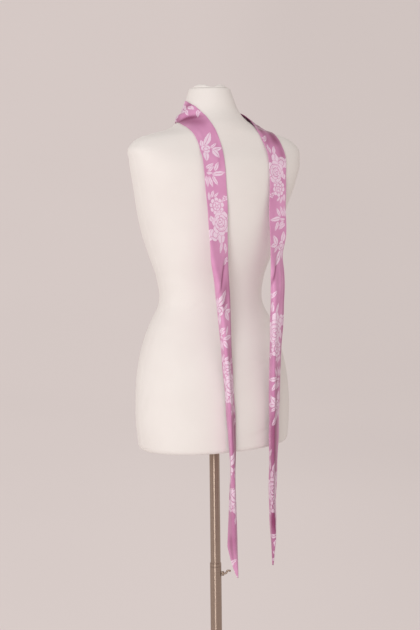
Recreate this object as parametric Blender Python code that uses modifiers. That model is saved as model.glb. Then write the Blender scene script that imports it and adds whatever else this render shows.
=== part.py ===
"""Skinny scarf worn back to front round the neck of a limbless dress form on an adjustable stand.

Metres, +Z up. The origin is on the floor, under the middle of the stand's round foot. The form's
front faces -Y, so the scarf's two tails hang down the back, on the +Y side. Its left is +X.
"""
from collections import namedtuple

import bpy
import numpy as np

GAP = 0.0003
SHARP_EDGE_DEGREES = 40

# The scarf: a narrow double strip of satin, pressed flat, with pointed ends
SCARF_WIDTH = 0.050
SCARF_WALL = 0.0015
SCARF_OFF_FORM = 0.0010
SCARF_FOLD_BEND = 0.010
SCARF_TIP_WIDTH = 0.002
SCARF_TANGENT_REACH = 0.004
SCARF_SQUARED_UP = 0.5
SCARF_ACROSS = 12
SCARF_STEP = 0.010
SCARF_TAIL_STEP = 0.026
LEFT_TIP_HEIGHT = 0.525
LEFT_END_CUT = 0.072
RIGHT_TIP_HEIGHT = 0.538
RIGHT_END_CUT = 0.058
THROAT_HALF_LENGTH = 0.058
LEFT_SHOULDER_END = 0.235
RIGHT_SHOULDER_END = 0.250

# The dress form
FORM_BOTTOM = 0.790
FORM_TOP = 1.552
FORM_SIDES = 36
FORM_EDGE_ROUND = 0.010
NECK_EDGE_ROUND = 0.006
BUST_HEIGHT = 1.262
BUST_SIDEWAYS = 0.074
BUST_SPREAD = 0.048
BUST_SWELL = 0.012
BOARD_INSET = 0.024
BOARD_THICKNESS = 0.012
CAP_THICKNESS = 0.0018
CAP_SHARE = 0.94
CAP_RINGS = (0.95, 0.84, 0.72, 0.60, 0.46, 0.28)
NECK_FOLD_SPREAD = 0.16

# The stand
FOOT_RADIUS = 0.190
FOOT_THICKNESS = 0.008
FOOT_EDGE_ROUND = 0.004
COLLAR_RADIUS = 0.026
COLLAR_HEIGHT = 0.034
COLLAR_SKIRT_HEIGHT = 0.004
COLLAR_NECK_RADIUS = 0.020
COLLAR_NECK_HEIGHT = 0.010
COLLAR_TOP_RADIUS = 0.018
COLLAR_BEVEL = 0.004
COLLAR_LIP = 0.003
LOWER_TUBE_RADIUS = 0.0125
UPPER_TUBE_RADIUS = 0.0110
TUBE_WALL = 0.0012
LOWER_TUBE_TOP = 0.517
UPPER_TUBE_BOTTOM = 0.250
BUSHING_HEIGHT = 0.0074
SOCKET_FLANGE_RADIUS = 0.045
SOCKET_FLANGE_THICKNESS = 0.004
SOCKET_BOSS_RADIUS = 0.017
SOCKET_BOSS_DEPTH = 0.020
CLAMP_HEIGHT = 0.500
CLAMP_BEARING = 150
CLAMP_BOSS_RADIUS = 0.0050
CLAMP_BOSS_LENGTH = 0.0055
CLAMP_ROD_RADIUS = 0.0022
ROUND_STEPS = 32

# Level sections of the form: height, half its width, how far its back and front lie from the
# pole's axis, where its widest line lies, and how square the section is (2 is an ellipse)
Ring = namedtuple("Ring", "height half_width back front middle square")
FORM_RINGS = [
    Ring(0.790, 0.172, 0.114, -0.106, -0.004, 2.15),
    Ring(0.840, 0.177, 0.114, -0.112, -0.004, 2.15),
    Ring(0.900, 0.177, 0.113, -0.115, -0.004, 2.15),
    Ring(0.950, 0.172, 0.107, -0.116, -0.005, 2.15),
    Ring(1.000, 0.161, 0.095, -0.114, -0.006, 2.15),
    Ring(1.050, 0.142, 0.082, -0.107, -0.006, 2.15),
    Ring(1.100, 0.116, 0.076, -0.099, -0.006, 2.15),
    Ring(1.150, 0.120, 0.079, -0.103, -0.005, 2.15),
    Ring(1.200, 0.138, 0.094, -0.112, -0.002, 2.15),
    Ring(1.250, 0.155, 0.107, -0.121, 0.000, 2.15),
    Ring(1.300, 0.169, 0.117, -0.118, 0.007, 2.20),
    Ring(1.350, 0.183, 0.121, -0.098, 0.020, 2.35),
    Ring(1.400, 0.195, 0.112, -0.077, 0.024, 2.50),
    Ring(1.430, 0.195, 0.095, -0.067, 0.018, 2.40),
    Ring(1.450, 0.166, 0.086, -0.061, 0.012, 2.20),
    Ring(1.465, 0.108, 0.081, -0.057, 0.012, 2.10),
    Ring(1.480, 0.081, 0.073, -0.053, 0.008, 2.00),
    Ring(1.492, 0.069, 0.063, -0.052, 0.003, 2.00),
    Ring(1.505, 0.0615, 0.054, -0.051, 0.000, 2.00),
    Ring(1.530, 0.0512, 0.047, -0.049, -0.003, 2.00),
    Ring(1.552, 0.0435, 0.040, -0.047, -0.005, 2.00),
]

# Where the form's mesh has its level rings: from, to, how many steps
Band = namedtuple("Band", "low high steps")
FORM_BANDS = [
    Band(0.800, 1.340, 16),
    Band(1.340, 1.424, 5),
    Band(1.424, 1.510, 20),
    Band(1.510, 1.546, 3),
]

# Stations down each half of the scarf, from the middle of the throat to the pointed end.
# out, back, height: the strip's inner edge, sideways from the middle, behind the axis, above the floor.
# heading, lean: the way its width runs from that edge, turned from straight sideways towards the
# back, and tilted below level. fold: how far the width turns in towards the form at a lengthwise
# fold, and fold_at: the share of the width before that fold.
Station = namedtuple("Station", "out back height heading lean fold fold_at")
LEFT_HALF = [
    Station(0.000, -0.057, 1.506, -90, 84, 0, 0.55),
    Station(0.020, -0.053, 1.508, -72, 82, 0, 0.55),
    Station(0.038, -0.041, 1.513, -48, 78, -6, 0.55),
    Station(0.048, -0.024, 1.522, -20, 76, -6, 0.55),
    Station(0.0525, -0.010, 1.525, 8, 72, -16, 0.55),
    Station(0.0535, 0.007, 1.5195, 10, 66, -16, 0.50),
    Station(0.050, 0.024, 1.512, 4, 54, -8, 0.45),
    Station(0.047, 0.037, 1.503, -4, 48, -3, 0.50),
    Station(0.0423, 0.053, 1.4915, -8, 39, 0, 0.50),
    Station(0.0387, 0.070, 1.475, -12, 32, 0, 0.50),
    Station(0.035, 0.0815, 1.459, -13, 25, 0, 0.50),
    Station(0.032, 0.0925, 1.4385, -8, 14, 0, 0.50),
    Station(0.034, 0.108, 1.412, 0, 6, 0, 0.50),
    Station(0.036, 0.119, 1.380, 0, 0, 0, 0.60),
    Station(0.036, 0.123, 1.343, 1, 0, 0, 0.80),
    Station(0.034, 0.123, 1.290, 6, 0, 0, 0.92),
    Station(0.034, 0.122, 1.240, 14, 0, 22, 0.95),
    Station(0.033, 0.121, 1.195, 20, 0, 84, 0.91),
    Station(0.031, 0.121, 1.155, 26, 0, 112, 0.79),
    Station(0.029, 0.121, 1.110, 27, 0, 124, 0.65),
    Station(0.028, 0.121, 1.060, 33, 0, 133, 0.59),
    Station(0.026, 0.121, 1.000, 38, 0, 140, 0.56),
    Station(0.022, 0.122, 0.900, 43, 0, 150, 0.56),
    Station(0.019, 0.122, 0.820, 46, 0, 156, 0.56),
    Station(0.021, 0.122, 0.765, 54, 0, 170, 0.56),
    Station(0.021, 0.122, 0.725, 54, 0, 164, 0.56),
    Station(0.020, 0.122, 0.680, 52, 0, 156, 0.55),
    Station(0.019, 0.122, 0.620, 51, 0, 146, 0.53),
    Station(0.018, 0.122, 0.570, 50, 0, 134, 0.52),
    Station(0.017, 0.122, 0.525, 49, 0, 112, 0.52),
]
RIGHT_HALF = [
    Station(0.000, -0.057, 1.506, -90, 84, 0, 0.55),
    Station(0.021, -0.053, 1.506, -76, 80, 0, 0.55),
    Station(0.040, -0.041, 1.507, -62, 74, 0, 0.55),
    Station(0.055, -0.024, 1.506, -50, 64, 0, 0.55),
    Station(0.064, -0.006, 1.504, -40, 48, 0, 0.55),
    Station(0.072, 0.015, 1.497, -30, 33, 0, 0.55),
    Station(0.0755, 0.034, 1.486, -20, 23, 0, 0.50),
    Station(0.0735, 0.053, 1.4735, -13, 18, 0, 0.50),
    Station(0.0702, 0.069, 1.4635, -9, 18, 0, 0.50),
    Station(0.0735, 0.0862, 1.442, -11, 14, 0, 0.50),
    Station(0.075, 0.104, 1.416, -14, 9, 0, 0.50),
    Station(0.072, 0.116, 1.388, -15, 4, 0, 0.40),
    Station(0.070, 0.121, 1.355, -15, 0, 0, 0.20),
    Station(0.0685, 0.121, 1.308, -14, 0, 0, 0.10),
    Station(0.069, 0.122, 1.240, -16, 0, 0, 0.08),
    Station(0.070, 0.123, 1.200, -9, 0, 20, 0.08),
    Station(0.070, 0.123, 1.165, 42, 0, 72, 0.12),
    Station(0.070, 0.123, 1.110, 88, 0, 116, 0.22),
    Station(0.069, 0.122, 1.060, 97, 0, 124, 0.30),
    Station(0.068, 0.121, 1.000, 100, 0, 133, 0.34),
    Station(0.067, 0.120, 0.930, 101, 0, 138, 0.36),
    Station(0.067, 0.119, 0.860, 101, 0, 142, 0.36),
    Station(0.066, 0.119, 0.800, 101, 0, 144, 0.36),
    Station(0.065, 0.120, 0.742, 103, 0, 150, 0.36),
    Station(0.064, 0.120, 0.690, 104, 0, 154, 0.36),
    Station(0.066, 0.120, 0.640, 107, 0, 160, 0.36),
    Station(0.069, 0.120, 0.590, 110, 0, 166, 0.36),
    Station(0.072, 0.120, 0.538, 112, 0, 166, 0.36),
]

# Folds of the cover gathered over the neck's top: bearing, half its angle, height, share of the radius
NeckFold = namedtuple("NeckFold", "bearing half_angle height radius")
NECK_FOLDS = [
    NeckFold(30, 32, 0.0046, 0.80),
    NeckFold(92, 24, 0.0042, 0.78),
    NeckFold(205, 30, 0.0034, 0.62),
    NeckFold(290, 26, 0.0030, 0.70),
]

# The bent clamp rod's path: how far out from the pole's axis, how far above the screw's own axis
RodPoint = namedtuple("RodPoint", "out up")
CLAMP_ROD = [
    RodPoint(0.0113, 0.0),
    RodPoint(0.0200, 0.0),
    RodPoint(0.0225, 0.0006),
    RodPoint(0.0240, 0.0026),
    RodPoint(0.0250, 0.0050),
    RodPoint(0.0270, 0.0064),
    RodPoint(0.0300, 0.0062),
    RodPoint(0.0330, 0.0056),
]


def clear_scene():
    for thing in list(bpy.data.objects):
        bpy.data.objects.remove(thing, do_unlink=True)


def new_collection(name):
    collection = bpy.data.collections.new(name)
    bpy.context.scene.collection.children.link(collection)
    return collection


def new_material(name, colour, roughness, metallic=0.0):
    material = bpy.data.materials.new(name)
    material.use_nodes = True
    shader = material.node_tree.nodes["Principled BSDF"]
    shader.inputs["Base Color"].default_value = (*colour, 1.0)
    shader.inputs["Roughness"].default_value = roughness
    shader.inputs["Metallic"].default_value = metallic
    return material


def new_object(name, mesh, material, collection):
    thing = bpy.data.objects.new(name, mesh)
    mesh.materials.append(material)
    collection.objects.link(thing)
    return thing


def mesh_from(name, points, faces):
    """A mesh of points and faces, shaded smooth but for its sharp edges."""
    mesh = bpy.data.meshes.new(name)
    mesh.from_pydata([tuple(point) for point in points], [], faces)
    mesh.validate()
    mesh.shade_smooth()
    mesh.set_sharp_from_angle(angle=np.radians(SHARP_EDGE_DEGREES))
    return mesh


def turned(name, profile, material, collection):
    """Turn a closed profile of (radius, height) points round the pole's axis."""
    mesh = bpy.data.meshes.new(name)
    edges = [(i, (i + 1) % len(profile)) for i in range(len(profile))]
    if profile[0][0] == 0.0 and profile[-1][0] == 0.0:
        edges.pop()
    mesh.from_pydata([(radius, 0.0, height) for radius, height in profile], edges, [])
    thing = new_object(name, mesh, material, collection)
    screw = thing.modifiers.new("Turn", "SCREW")
    screw.steps = ROUND_STEPS
    screw.render_steps = ROUND_STEPS
    screw.use_merge_vertices = True
    screw.merge_threshold = 0.00001
    return thing


def hollow_profile(inner, outer, low, high):
    """The outline of a tube's wall, down its outer side and up its inner side."""
    return [(outer, high), (outer, low), (inner, low), (inner, high)]


def curve_through(places, values, where):
    """A smooth curve through a table's column."""
    places = np.asarray(places)
    values = np.asarray(values, dtype=float)
    step = np.diff(places)
    rise = np.diff(values) / step
    slope = np.empty_like(values)
    slope[1:-1] = (rise[:-1] * step[1:] + rise[1:] * step[:-1]) / (step[1:] + step[:-1])
    slope[0] = rise[0]
    slope[-1] = rise[-1]
    where = np.clip(where, places[0], places[-1])
    i = np.clip(np.searchsorted(places, where) - 1, 0, len(places) - 2)
    t = (where - places[i]) / step[i]
    start = (1 + 2 * t) * (1 - t) ** 2 * values[i] + t * (1 - t) ** 2 * step[i] * slope[i]
    end = t * t * (3 - 2 * t) * values[i + 1] + t * t * (t - 1) * step[i] * slope[i + 1]
    return start + end


def form_columns(height):
    """The form's ring values at any height."""
    heights = [ring.height for ring in FORM_RINGS]
    return {
        column: curve_through(heights, [getattr(ring, column) for ring in FORM_RINGS], height)
        for column in Ring._fields[1:]
    }


def form_point(bearing, height, inset=0.0):
    """A point on the form's skin, at a bearing from +X round to +Y, moved in by inset."""
    ring = form_columns(height)
    cosine = np.cos(bearing)
    sine = np.sin(bearing)
    behind = np.where(sine >= 0, ring["back"], ring["front"]) - ring["middle"]
    power = 2.0 / ring["square"]
    side = np.sign(cosine) * np.abs(cosine) ** power
    depth = np.abs(sine) ** power
    x = (ring["half_width"] - inset) * side
    y = ring["middle"] + (behind - np.sign(behind) * inset) * depth
    aside = (np.abs(x) - BUST_SIDEWAYS) / BUST_SPREAD
    above = (height - BUST_HEIGHT) / BUST_SPREAD
    lobe = np.exp(-aside ** 2 - above ** 2)
    y = y - np.where(sine < 0, BUST_SWELL * lobe * depth, 0.0)
    return np.stack(np.broadcast_arrays(x, y, height), axis=-1)


def outside_form(point):
    """How far points lie outside the form's rings, and the way straight out of it."""
    def level(at):
        ring = form_columns(at[..., 2])
        behind = at[..., 1] - ring["middle"]
        depth = np.where(behind >= 0, ring["back"] - ring["middle"], ring["middle"] - ring["front"])
        across = (np.abs(at[..., 0]) / ring["half_width"]) ** ring["square"]
        along = (np.abs(behind) / depth) ** ring["square"]
        return (across + along + 1e-12) ** (1 / ring["square"]) - 1

    reach = 0.0001
    axes = np.eye(3) * reach
    slope = np.stack([(level(point + axis) - level(point - axis)) / (2 * reach) for axis in axes], axis=-1)
    steepness = np.linalg.norm(slope, axis=-1, keepdims=True)
    return level(point) / steepness[..., 0], slope / steepness


def rested_on_form(point):
    """Move points out until they lie clear of the form; below its hem nothing is moved."""
    for _ in range(3):
        distance, outward = outside_form(point)
        lift = np.maximum(SCARF_OFF_FORM - distance, 0.0)
        lift = np.where(point[..., 2] < FORM_BOTTOM, 0.0, lift)
        point = point + outward * lift[..., None]
    return point


def scarf_sections(stations, side, places, tip_height, end_cut):
    """Points of one half of the scarf: a row for each place down its inner edge.

    side is +1 for the form's left and -1 for its right. The strip keeps its width, because
    each row is stepped off from the inner edge, and lies on the form wherever it meets it.
    """
    edge = np.array([(s.out * side, s.back, s.height) for s in stations])
    run = np.concatenate([[0.0], np.cumsum(np.linalg.norm(np.diff(edge, axis=0), axis=1))])

    def column(name, where):
        return curve_through(run, [getattr(station, name) for station in stations], where)

    def inner_edge(where):
        out = column("out", where) * side
        return np.stack([out, column("back", where), column("height", where)], axis=-1)

    places = np.asarray(places)
    after = np.minimum(places + SCARF_TANGENT_REACH, run[-1])
    ahead = inner_edge(after) - inner_edge(np.maximum(places - SCARF_TANGENT_REACH, 0.0))
    ahead /= np.linalg.norm(ahead, axis=1, keepdims=True)
    heading = np.radians(column("heading", places))
    lean = np.radians(column("lean", places))
    fold = np.radians(column("fold", places))
    fold_at = column("fold_at", places)
    width_way = np.stack(
        [side * np.cos(lean) * np.cos(heading), np.cos(lean) * np.sin(heading), -np.sin(lean)], axis=-1)
    width_way -= SCARF_SQUARED_UP * ahead * np.sum(width_way * ahead, axis=1, keepdims=True)
    width_way /= np.linalg.norm(width_way, axis=1, keepdims=True)
    outward = side * np.cross(width_way, ahead)
    outward /= np.linalg.norm(outward, axis=1, keepdims=True)

    point = rested_on_form(inner_edge(places))
    tapered = (point[:, 2] - tip_height) / end_cut * SCARF_WIDTH + SCARF_TIP_WIDTH
    step = np.minimum(SCARF_WIDTH, tapered)[:, None] / SCARF_ACROSS
    rows = [point]
    for k in range(SCARF_ACROSS):
        share = (k + 0.5) / SCARF_ACROSS
        turn = np.clip((share - fold_at) * SCARF_WIDTH / SCARF_FOLD_BEND + 0.5, 0.0, 1.0)
        angle = (fold * turn * turn * (3 - 2 * turn))[:, None]
        aim = width_way * np.cos(angle) - outward * np.sin(angle)
        landed = point + aim * step
        for _ in range(3):
            move = rested_on_form(landed) - point
            landed = point + move / np.linalg.norm(move, axis=1, keepdims=True) * step
        point = rested_on_form(landed)
        rows.append(point)
    return np.stack(rows, axis=1)


def half_length(stations):
    edge = np.array([(s.out, s.back, s.height) for s in stations])
    return float(np.linalg.norm(np.diff(edge, axis=0), axis=1).sum())


def spaced(low, high, step):
    return np.linspace(low, high, max(2, int(round((high - low) / step)) + 1))


def scarf_stretch(name, grid, material, collection):
    """One stretch of the strip: its inner face as a grid, thickened away from the form."""
    rows, columns = grid.shape[:2]
    faces = [
        (i * columns + j, i * columns + j + 1, (i + 1) * columns + j + 1, (i + 1) * columns + j)
        for i in range(rows - 1) for j in range(columns - 1)
    ]
    mesh = mesh_from(name, grid.reshape(-1, 3), faces)
    thing = new_object(name, mesh, material, collection)
    wall = thing.modifiers.new("Cloth wall", "SOLIDIFY")
    wall.thickness = SCARF_WALL
    wall.offset = 1.0
    return thing


def make_scarf(material, collection):
    left_end = half_length(LEFT_HALF)
    right_end = half_length(RIGHT_HALF)

    def left(low, high, step):
        return scarf_sections(LEFT_HALF, 1, spaced(low, high, step), LEFT_TIP_HEIGHT, LEFT_END_CUT)

    def right(low, high, step):
        places = spaced(low, high, step)[::-1]
        return scarf_sections(RIGHT_HALF, -1, places, RIGHT_TIP_HEIGHT, RIGHT_END_CUT)

    throat_left = left(0.0, THROAT_HALF_LENGTH - GAP / 2, SCARF_STEP)
    throat_right = right(0.0, THROAT_HALF_LENGTH - GAP / 2, SCARF_STEP)
    throat = np.concatenate([throat_right, throat_left[1:]])
    scarf_stretch("scarf_throat", throat, material, collection)
    seam = THROAT_HALF_LENGTH + GAP / 2
    for name, stretch, shoulder_end, end in (
        ("left", left, LEFT_SHOULDER_END, left_end),
        ("right", right, RIGHT_SHOULDER_END, right_end),
    ):
        shoulder = stretch(seam, shoulder_end - GAP / 2, SCARF_STEP)
        tail = stretch(shoulder_end + GAP / 2, end, SCARF_TAIL_STEP)
        scarf_stretch(f"scarf_{name}_shoulder", shoulder, material, collection)
        scarf_stretch(f"scarf_{name}_tail", tail, material, collection)


def outline_heights(band):
    """Heights that are evenly spaced along the form's outline, so that the shoulders get enough rings."""
    height = np.linspace(band.low, band.high, 200)
    side = form_columns(height)["half_width"]
    run = np.concatenate([[0.0], np.cumsum(np.hypot(np.diff(height), np.diff(side)))])
    return np.interp(np.linspace(0.0, run[-1], band.steps, endpoint=False), run, height)


def loft(name, rings):
    """A closed solid through level rings with equal numbers of points, listed from below."""
    count = len(rings[0])
    points = np.concatenate(rings)
    faces = []
    for level in range(len(rings) - 1):
        base = level * count
        for i in range(count):
            after = (i + 1) % count
            faces.append((base + i, base + after, base + count + after, base + count + i))
    faces.append(tuple(reversed(range(count))))
    faces.append(tuple(range(len(points) - count, len(points))))
    return mesh_from(name, points, faces)


def make_form(jersey, wood, collection):
    """The padded body in its jersey cover, and the board that closes its underside."""
    bearings = np.linspace(0.0, 2 * np.pi, FORM_SIDES, endpoint=False)

    def ring(height, inset=0.0, at=None):
        points = form_point(bearings, np.full(FORM_SIDES, height), inset)
        points[:, 2] = height if at is None else at
        return points

    recess_top = FORM_BOTTOM + BOARD_THICKNESS + GAP
    rings = [ring(FORM_BOTTOM, BOARD_INSET, recess_top), ring(FORM_BOTTOM, BOARD_INSET)]
    for turn in np.radians([0, 30, 60]):
        inset = FORM_EDGE_ROUND * (1 - np.sin(turn))
        rings.append(ring(FORM_BOTTOM, inset, FORM_BOTTOM + FORM_EDGE_ROUND * (1 - np.cos(turn))))
    for band in FORM_BANDS:
        rings += [ring(height) for height in outline_heights(band)]
    for turn in np.radians([0, 30, 60, 90]):
        height = FORM_TOP - NECK_EDGE_ROUND * (1 - np.sin(turn))
        rings.append(ring(height, NECK_EDGE_ROUND * (1 - np.cos(turn))))
    new_object("form_torso", loft("form_torso", rings), jersey, collection)

    board_inset = BOARD_INSET + GAP
    board = [ring(FORM_BOTTOM, board_inset), ring(FORM_BOTTOM, board_inset, FORM_BOTTOM + BOARD_THICKNESS)]
    new_object("form_base_board", loft("form_base_board", board), wood, collection)


def make_neck_cover(jersey, collection):
    """The gathered end of the cover on the neck's flat top, with its low folds."""
    bearings = np.linspace(0.0, 2 * np.pi, FORM_SIDES, endpoint=False)
    rim = form_point(bearings, np.full(FORM_SIDES, FORM_TOP), NECK_EDGE_ROUND)
    middle = rim.mean(axis=0)

    def ring(share, base, folded):
        points = middle + (rim - middle) * share * CAP_SHARE
        height = np.full(FORM_SIDES, base)
        if folded:
            for fold in NECK_FOLDS:
                away = (np.degrees(bearings) - fold.bearing + 180) % 360 - 180
                off_ridge = (share - fold.radius) / NECK_FOLD_SPREAD
                height += fold.height * np.exp(-(away / fold.half_angle) ** 2 - off_ridge ** 2)
        points[:, 2] = height
        return points

    low = FORM_TOP + GAP
    rings = [ring(1.0, low, False), ring(1.0, low + CAP_THICKNESS * 0.5, False)]
    rings += [ring(share, low + CAP_THICKNESS, True) for share in CAP_RINGS]
    new_object("form_neck_cover", loft("form_neck_cover", rings), jersey, collection)


def make_stand(steel, collection):
    """The round foot, its collar, the two tubes, the bushing between them and the pole socket."""
    foot = [(0.0, FOOT_THICKNESS)]
    for turn in np.radians([0, 30, 60, 90]):
        radius = FOOT_RADIUS - FOOT_EDGE_ROUND * (1 - np.sin(turn))
        foot.append((radius, FOOT_THICKNESS - FOOT_EDGE_ROUND * (1 - np.cos(turn))))
    foot += [(FOOT_RADIUS, 0.0), (0.0, 0.0)]
    turned("stand_foot", foot, steel, collection)

    collar_low = FOOT_THICKNESS + GAP
    collar_high = collar_low + COLLAR_HEIGHT
    collar_bore = LOWER_TUBE_RADIUS + GAP
    collar = [
        (collar_bore + COLLAR_LIP, collar_high),
        (COLLAR_TOP_RADIUS, collar_high - COLLAR_BEVEL),
        (COLLAR_NECK_RADIUS, collar_low + COLLAR_NECK_HEIGHT),
        (COLLAR_RADIUS, collar_low + COLLAR_SKIRT_HEIGHT),
        (COLLAR_RADIUS, collar_low),
        (collar_bore, collar_low),
        (collar_bore, collar_high),
    ]
    turned("stand_foot_collar", collar, steel, collection)

    upper_bore = UPPER_TUBE_RADIUS + GAP
    lower_bore = LOWER_TUBE_RADIUS - TUBE_WALL
    lower = hollow_profile(lower_bore, LOWER_TUBE_RADIUS, collar_low, LOWER_TUBE_TOP)
    lower_tube = turned("stand_lower_tube", lower, steel, collection)
    bushing_low = LOWER_TUBE_TOP + GAP
    bushing = hollow_profile(upper_bore, LOWER_TUBE_RADIUS, bushing_low, bushing_low + BUSHING_HEIGHT)
    turned("stand_tube_bushing", bushing, steel, collection)

    flange_high = FORM_BOTTOM - GAP
    flange_low = flange_high - SOCKET_FLANGE_THICKNESS
    upper_top = flange_low - GAP
    upper = hollow_profile(UPPER_TUBE_RADIUS - TUBE_WALL, UPPER_TUBE_RADIUS, UPPER_TUBE_BOTTOM, upper_top)
    turned("stand_upper_tube", upper, steel, collection)
    boss_low = flange_high - SOCKET_BOSS_DEPTH
    socket = [
        (0.0, flange_high),
        (SOCKET_FLANGE_RADIUS, flange_high),
        (SOCKET_FLANGE_RADIUS, flange_low),
        (SOCKET_BOSS_RADIUS, flange_low),
        (SOCKET_BOSS_RADIUS, boss_low),
        (upper_bore, boss_low),
        (upper_bore, flange_low),
        (0.0, flange_low),
    ]
    turned("form_pole_socket", socket, steel, collection)
    return lower_tube


def make_clamp(steel, lower_tube, collection, cutters):
    """The threaded boss on the lower tube and the bent rod screwed through it."""
    bearing = np.radians(CLAMP_BEARING)
    hole_radius = CLAMP_ROD_RADIUS + GAP
    boss_start = LOWER_TUBE_RADIUS + GAP

    def sideways(name, outline):
        """Turn an outline of (radius, distance from the pole's axis) round the screw's axis."""
        thing = turned(name, outline, steel, collection)
        thing.location = (0.0, 0.0, CLAMP_HEIGHT)
        thing.rotation_euler = (0.0, np.pi / 2, bearing)
        return thing

    boss = hollow_profile(hole_radius, CLAMP_BOSS_RADIUS, boss_start, boss_start + CLAMP_BOSS_LENGTH)
    sideways("clamp_boss", boss)

    drill_start = LOWER_TUBE_RADIUS - 2 * TUBE_WALL
    drill_end = LOWER_TUBE_RADIUS + TUBE_WALL
    hole = [(0.0, drill_end), (hole_radius, drill_end), (hole_radius, drill_start), (0.0, drill_start)]
    drill = sideways("clamp_hole", hole)
    collection.objects.unlink(drill)
    cutters.objects.link(drill)
    drill.hide_render = True
    drill.display_type = "WIRE"
    cut = lower_tube.modifiers.new("Clamp hole", "BOOLEAN")
    cut.operation = "DIFFERENCE"
    cut.object = drill

    curve = bpy.data.curves.new("clamp_screw", "CURVE")
    curve.dimensions = "3D"
    curve.bevel_depth = CLAMP_ROD_RADIUS
    curve.bevel_resolution = 2
    curve.use_fill_caps = True
    spline = curve.splines.new("POLY")
    spline.points.add(len(CLAMP_ROD) - 1)
    for point, stop in zip(spline.points, CLAMP_ROD):
        point.co = (stop.out, 0.0, stop.up, 1.0)
    rod = bpy.data.objects.new("clamp_screw", curve)
    curve.materials.append(steel)
    collection.objects.link(rod)
    rod.location = (0.0, 0.0, CLAMP_HEIGHT)
    rod.rotation_euler = (0.0, 0.0, bearing)


def main():
    clear_scene()
    part = new_collection("Skinny scarf on a dress form stand")
    cutters = new_collection("Cutters")
    satin = new_material("Printed satin", (0.56, 0.22, 0.42), 0.42)
    jersey = new_material("Cotton jersey", (0.80, 0.74, 0.68), 0.90)
    wood = new_material("Birch plywood", (0.62, 0.46, 0.30), 0.60)
    steel = new_material("Brushed nickel steel", (0.42, 0.35, 0.30), 0.30, 1.0)
    make_scarf(satin, part)
    make_form(jersey, wood, part)
    make_neck_cover(jersey, part)
    lower_tube = make_stand(steel, part)
    make_clamp(steel, lower_tube, part, cutters)


main()
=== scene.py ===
"""The finished look of a skinny scarf worn back to front on a limbless dress form and its stand."""
from collections import namedtuple

import bpy
import numpy as np
from bpy.props import FloatProperty, FloatVectorProperty, IntProperty, PointerProperty
from bpy.types import Operator, Panel, PropertyGroup
from mathutils import Matrix, Vector


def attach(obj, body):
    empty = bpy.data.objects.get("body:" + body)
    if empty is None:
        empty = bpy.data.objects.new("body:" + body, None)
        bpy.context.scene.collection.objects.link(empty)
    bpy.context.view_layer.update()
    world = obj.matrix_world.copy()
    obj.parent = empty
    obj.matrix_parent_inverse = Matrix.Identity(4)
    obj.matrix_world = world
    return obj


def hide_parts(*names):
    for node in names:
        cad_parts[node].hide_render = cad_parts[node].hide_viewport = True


bl_info = {
    "name": "Scarf on a Dress Form",
    "version": (1, 0, 0),
    "blender": (4, 5, 0),
    "location": "3D View > Sidebar > Scarf",
    "description": "Printed satin skinny scarf on a jersey-covered dress form, its steel stand and a stage",
    "category": "Object",
}

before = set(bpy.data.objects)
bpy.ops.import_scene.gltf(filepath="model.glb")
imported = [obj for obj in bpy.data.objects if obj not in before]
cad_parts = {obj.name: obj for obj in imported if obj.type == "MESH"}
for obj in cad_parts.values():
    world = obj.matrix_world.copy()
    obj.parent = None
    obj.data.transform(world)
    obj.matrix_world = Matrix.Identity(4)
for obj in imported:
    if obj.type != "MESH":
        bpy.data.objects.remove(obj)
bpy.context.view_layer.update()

GAP = 0.0003
MILLIMETRE = 0.001

# The form's level sections, as in the solid: height, half its width, how far its back and front lie
# from the pole's axis, where its widest line lies, and how square the section is
Ring = namedtuple("Ring", "height half_width back front middle square")
FORM_RINGS = [
    Ring(0.790, 0.172, 0.114, -0.106, -0.004, 2.15),
    Ring(0.840, 0.177, 0.114, -0.112, -0.004, 2.15),
    Ring(0.900, 0.177, 0.113, -0.115, -0.004, 2.15),
    Ring(0.950, 0.172, 0.107, -0.116, -0.005, 2.15),
    Ring(1.000, 0.161, 0.095, -0.114, -0.006, 2.15),
    Ring(1.050, 0.142, 0.082, -0.107, -0.006, 2.15),
    Ring(1.100, 0.116, 0.076, -0.099, -0.006, 2.15),
    Ring(1.150, 0.120, 0.079, -0.103, -0.005, 2.15),
    Ring(1.200, 0.138, 0.094, -0.112, -0.002, 2.15),
    Ring(1.250, 0.155, 0.107, -0.121, 0.000, 2.15),
    Ring(1.300, 0.169, 0.117, -0.118, 0.007, 2.20),
    Ring(1.350, 0.183, 0.121, -0.098, 0.020, 2.35),
    Ring(1.400, 0.195, 0.112, -0.077, 0.024, 2.50),
    Ring(1.430, 0.195, 0.095, -0.067, 0.018, 2.40),
    Ring(1.450, 0.166, 0.086, -0.061, 0.012, 2.20),
    Ring(1.465, 0.108, 0.081, -0.057, 0.012, 2.10),
    Ring(1.480, 0.081, 0.073, -0.053, 0.008, 2.00),
    Ring(1.492, 0.069, 0.063, -0.052, 0.003, 2.00),
    Ring(1.505, 0.0615, 0.054, -0.051, 0.000, 2.00),
    Ring(1.530, 0.0512, 0.047, -0.049, -0.003, 2.00),
    Ring(1.552, 0.0435, 0.040, -0.047, -0.005, 2.00),
]
FORM_BOTTOM = FORM_RINGS[0].height
FORM_TOP = FORM_RINGS[-1].height
FORM_EDGE_ROUND = 0.010
NECK_EDGE_ROUND = 0.0035
# The degrees through which the rounded edges turn, in steps, at the hem and at the neck's top
HEM_TURNS = (0, 15, 30, 45, 60, 75)
NECK_TURNS = (0, 22, 45, 67, 90)
BUST_HEIGHT = 1.262
BUST_SIDEWAYS = 0.074
BUST_SPREAD = 0.048
BUST_SWELL = 0.012
BOARD_INSET = 0.024
BOARD_THICKNESS = 0.012

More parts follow.
